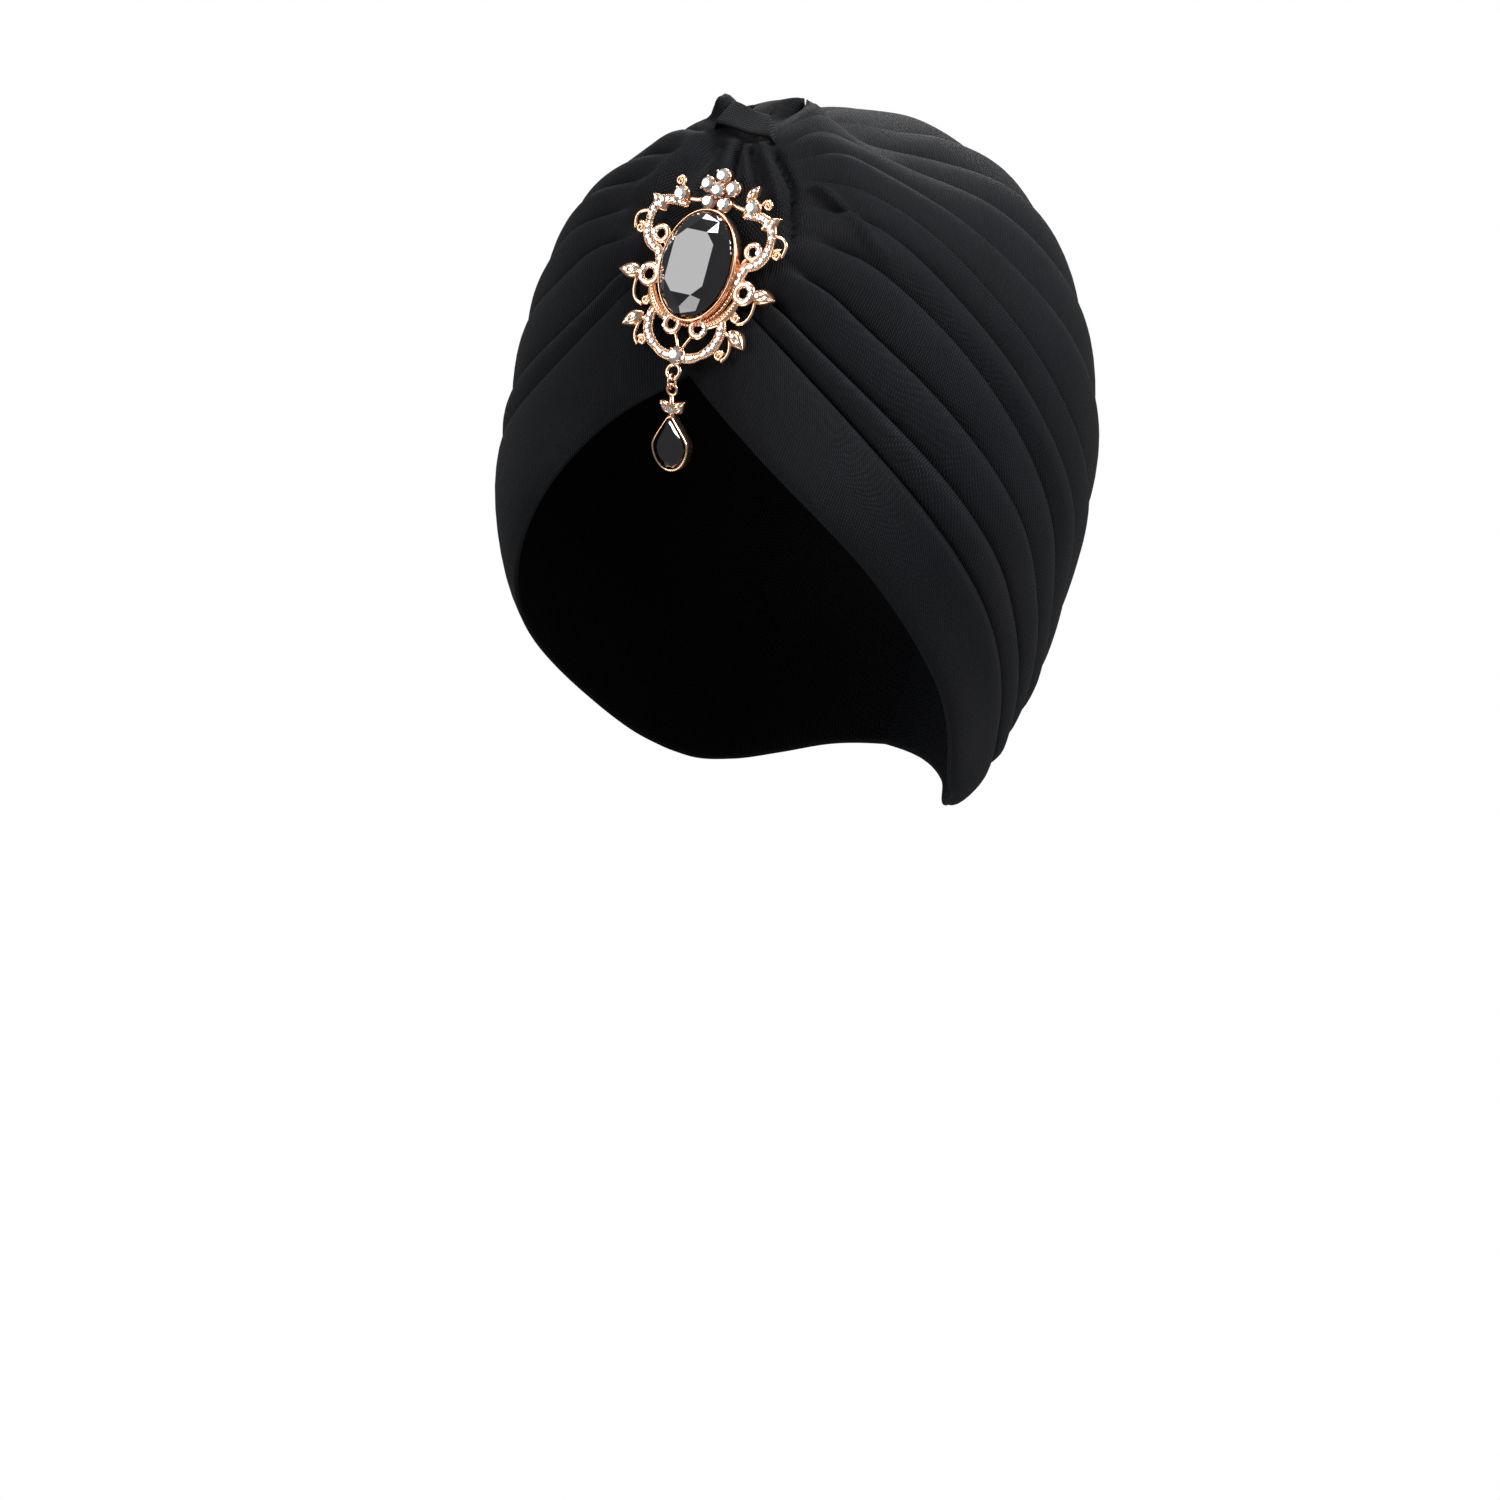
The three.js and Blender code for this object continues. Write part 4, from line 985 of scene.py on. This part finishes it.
stemTop, stemFoot = eyeCentre - drop["eye"] + drop["intoEye"], drop["top"] - drop["intoCup"]
stem = [(0, y) for y in (stemTop, *drop["stemHeights"], stemFoot)]
dropGold = [
    pearPart(cupRows, drop["cupSides"]),
    torusPart(drop["eye"], drop["eyeWire"], (0, 0, eyeCentre), ((1, 0, 0), (0, 0, 1), (0, -1, 0))),
    upright(sweep(stem, drop["stemWidths"], drop["stemDepth"]), drop["stemBack"]),
]
dropStones = []
for x, angle in ((dropLeaf["aside"], dropLeaf["angle"]), (-dropLeaf["aside"], 180 - dropLeaf["angle"])):
    leaf = leafPart(x, dropLeaf["y"], angle, dropLeaf["length"], dropLeaf["width"], dropLeaf["high"])
    dropGold.append(upright(leaf, dropLeaf["back"]))
    along = dropLeaf["length"] * np.array([np.cos(np.radians(angle)), np.sin(np.radians(angle))])
    for share, size in zip(dropLeaf["places"], dropLeaf["sizes"]):
        points, faces = gem(size, size * gemHeight)
        at = np.array([x + share * along[0], dropLeaf["y"] + share * along[1], dropLeaf["stoneHigh"]])
        dropStones.append(upright((points + at, faces), dropLeaf["back"]))
points, faces = gem(dropTopStone["radius"], dropTopStone["high"])
at = np.array([0, dropTopStone["y"], dropTopStone["seat"]])
dropStones.append(upright((points + at, faces), drop["stemBack"]))
dropFrame = makePiece("drop_gold", [onDrop(part) for part in dropGold], goldFinish, "drop")
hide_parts("drop_frame")
dropPave = makePiece("drop_pave", [onDrop(part) for part in dropStones], crystalFinish, "drop", shade=False)
linkPart = torusPart(drop["link"], drop["linkWire"], (0, 0, linkCentre), ((0, 1, 0), (0, 0, 1), (1, 0, 0)))
linkWire = makePiece("link_wire", [onDrop(linkPart)], goldFinish, "drop")
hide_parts("drop_link")
pearFacets = onDrop(halvedPart(pearPart(pearRows, drop["stoneSides"])))
pearStone = makePiece("pear_stone", [pearFacets], jetFinish, "drop", shade=False)
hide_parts("drop_stone")

for name, node in frame["nodes"].items():  # the round stones keep their own solids
    if name.startswith("flower_") or name.startswith("side_") or name == "foot_stone":
        node.material_slots[0].material = crystalFinish
print("drop dressed")


# The lights and camera

stage = {
    "look": (0, 0, -0.086), "azimuth": 31.42, "elevation": 11.85, "distance": 3.428,
    "lens": 293.0, "shiftX": -0.0251, "shiftY": -0.2099, "sensor": 36, "farthest": 200,
    "grey": (0.26, 0.265, 0.275, 1), "white": (1, 1, 1, 1),
}
softboxes = (
    {"name": "frontLeft", "place": (-0.82, -1.26, 0.64), "target": (0, -0.05, -0.03),
     "width": 0.75, "height": 0.95, "power": 13},
    {"name": "highRight", "place": (1.45, 0.05, 1.05), "target": (0, 0, -0.08),
     "width": 0.45, "height": 1.0, "power": 58},
    {"name": "behind", "place": (-0.7, 1.4, 0.6), "target": (0, 0.05, -0.09),
     "width": 0.8, "height": 0.8, "power": 11},
    {"name": "below", "place": (-0.25, -1.1, -1.0), "target": (0, 0, -0.1),
     "width": 0.9, "height": 0.7, "power": 9},
    {"name": "overhead", "place": (-0.2, 0.1, 1.6), "target": (0, 0, -0.05),
     "width": 0.6, "height": 0.5, "power": 26},
)


def aim(item, place, target):  # stands at its place with its -Z on the target
    away = Vector(place) - Vector(target)
    item.location = place
    item.rotation_euler = away.to_track_quat("Z", "Y").to_euler()


def softbox(name, place, target, width, height, power):  # an area light, in metres and watts
    light = bpy.data.lights.new(name, "AREA")
    light.shape, light.size, light.size_y, light.energy = "RECTANGLE", width, height, power
    item = bpy.data.objects.new(name, light)
    bpy.context.scene.collection.objects.link(item)
    aim(item, place, target)


for row in softboxes:
    softbox(**row)

world = bpy.data.worlds.new("studio")
world.use_nodes = True
seen = Wire(world.node_tree).node("ShaderNodeLightPath")  # its first output is 1 for what the camera sees
skyColour = seen.mix(stage["grey"], stage["white"])
world.node_tree.links.new(skyColour.socket, world.node_tree.nodes["Background"].inputs["Color"])
bpy.context.scene.world = world
bpy.context.scene.view_settings.view_transform = "Standard"

azimuth, elevation = np.radians(stage["azimuth"]), np.radians(stage["elevation"])
level = np.cos(elevation)
towards = np.array([np.sin(azimuth) * level, -np.cos(azimuth) * level, np.sin(elevation)])
lens = bpy.data.cameras.new("camera")
lens.lens, lens.sensor_width, lens.clip_end = stage["lens"], stage["sensor"], stage["farthest"]
lens.shift_x, lens.shift_y = stage["shiftX"], stage["shiftY"]
camera = bpy.data.objects.new("camera", lens)
bpy.context.scene.collection.objects.link(camera)
aim(camera, tuple(np.array(stage["look"]) + stage["distance"] * towards), stage["look"])
bpy.context.scene.camera = camera
print("stage set")
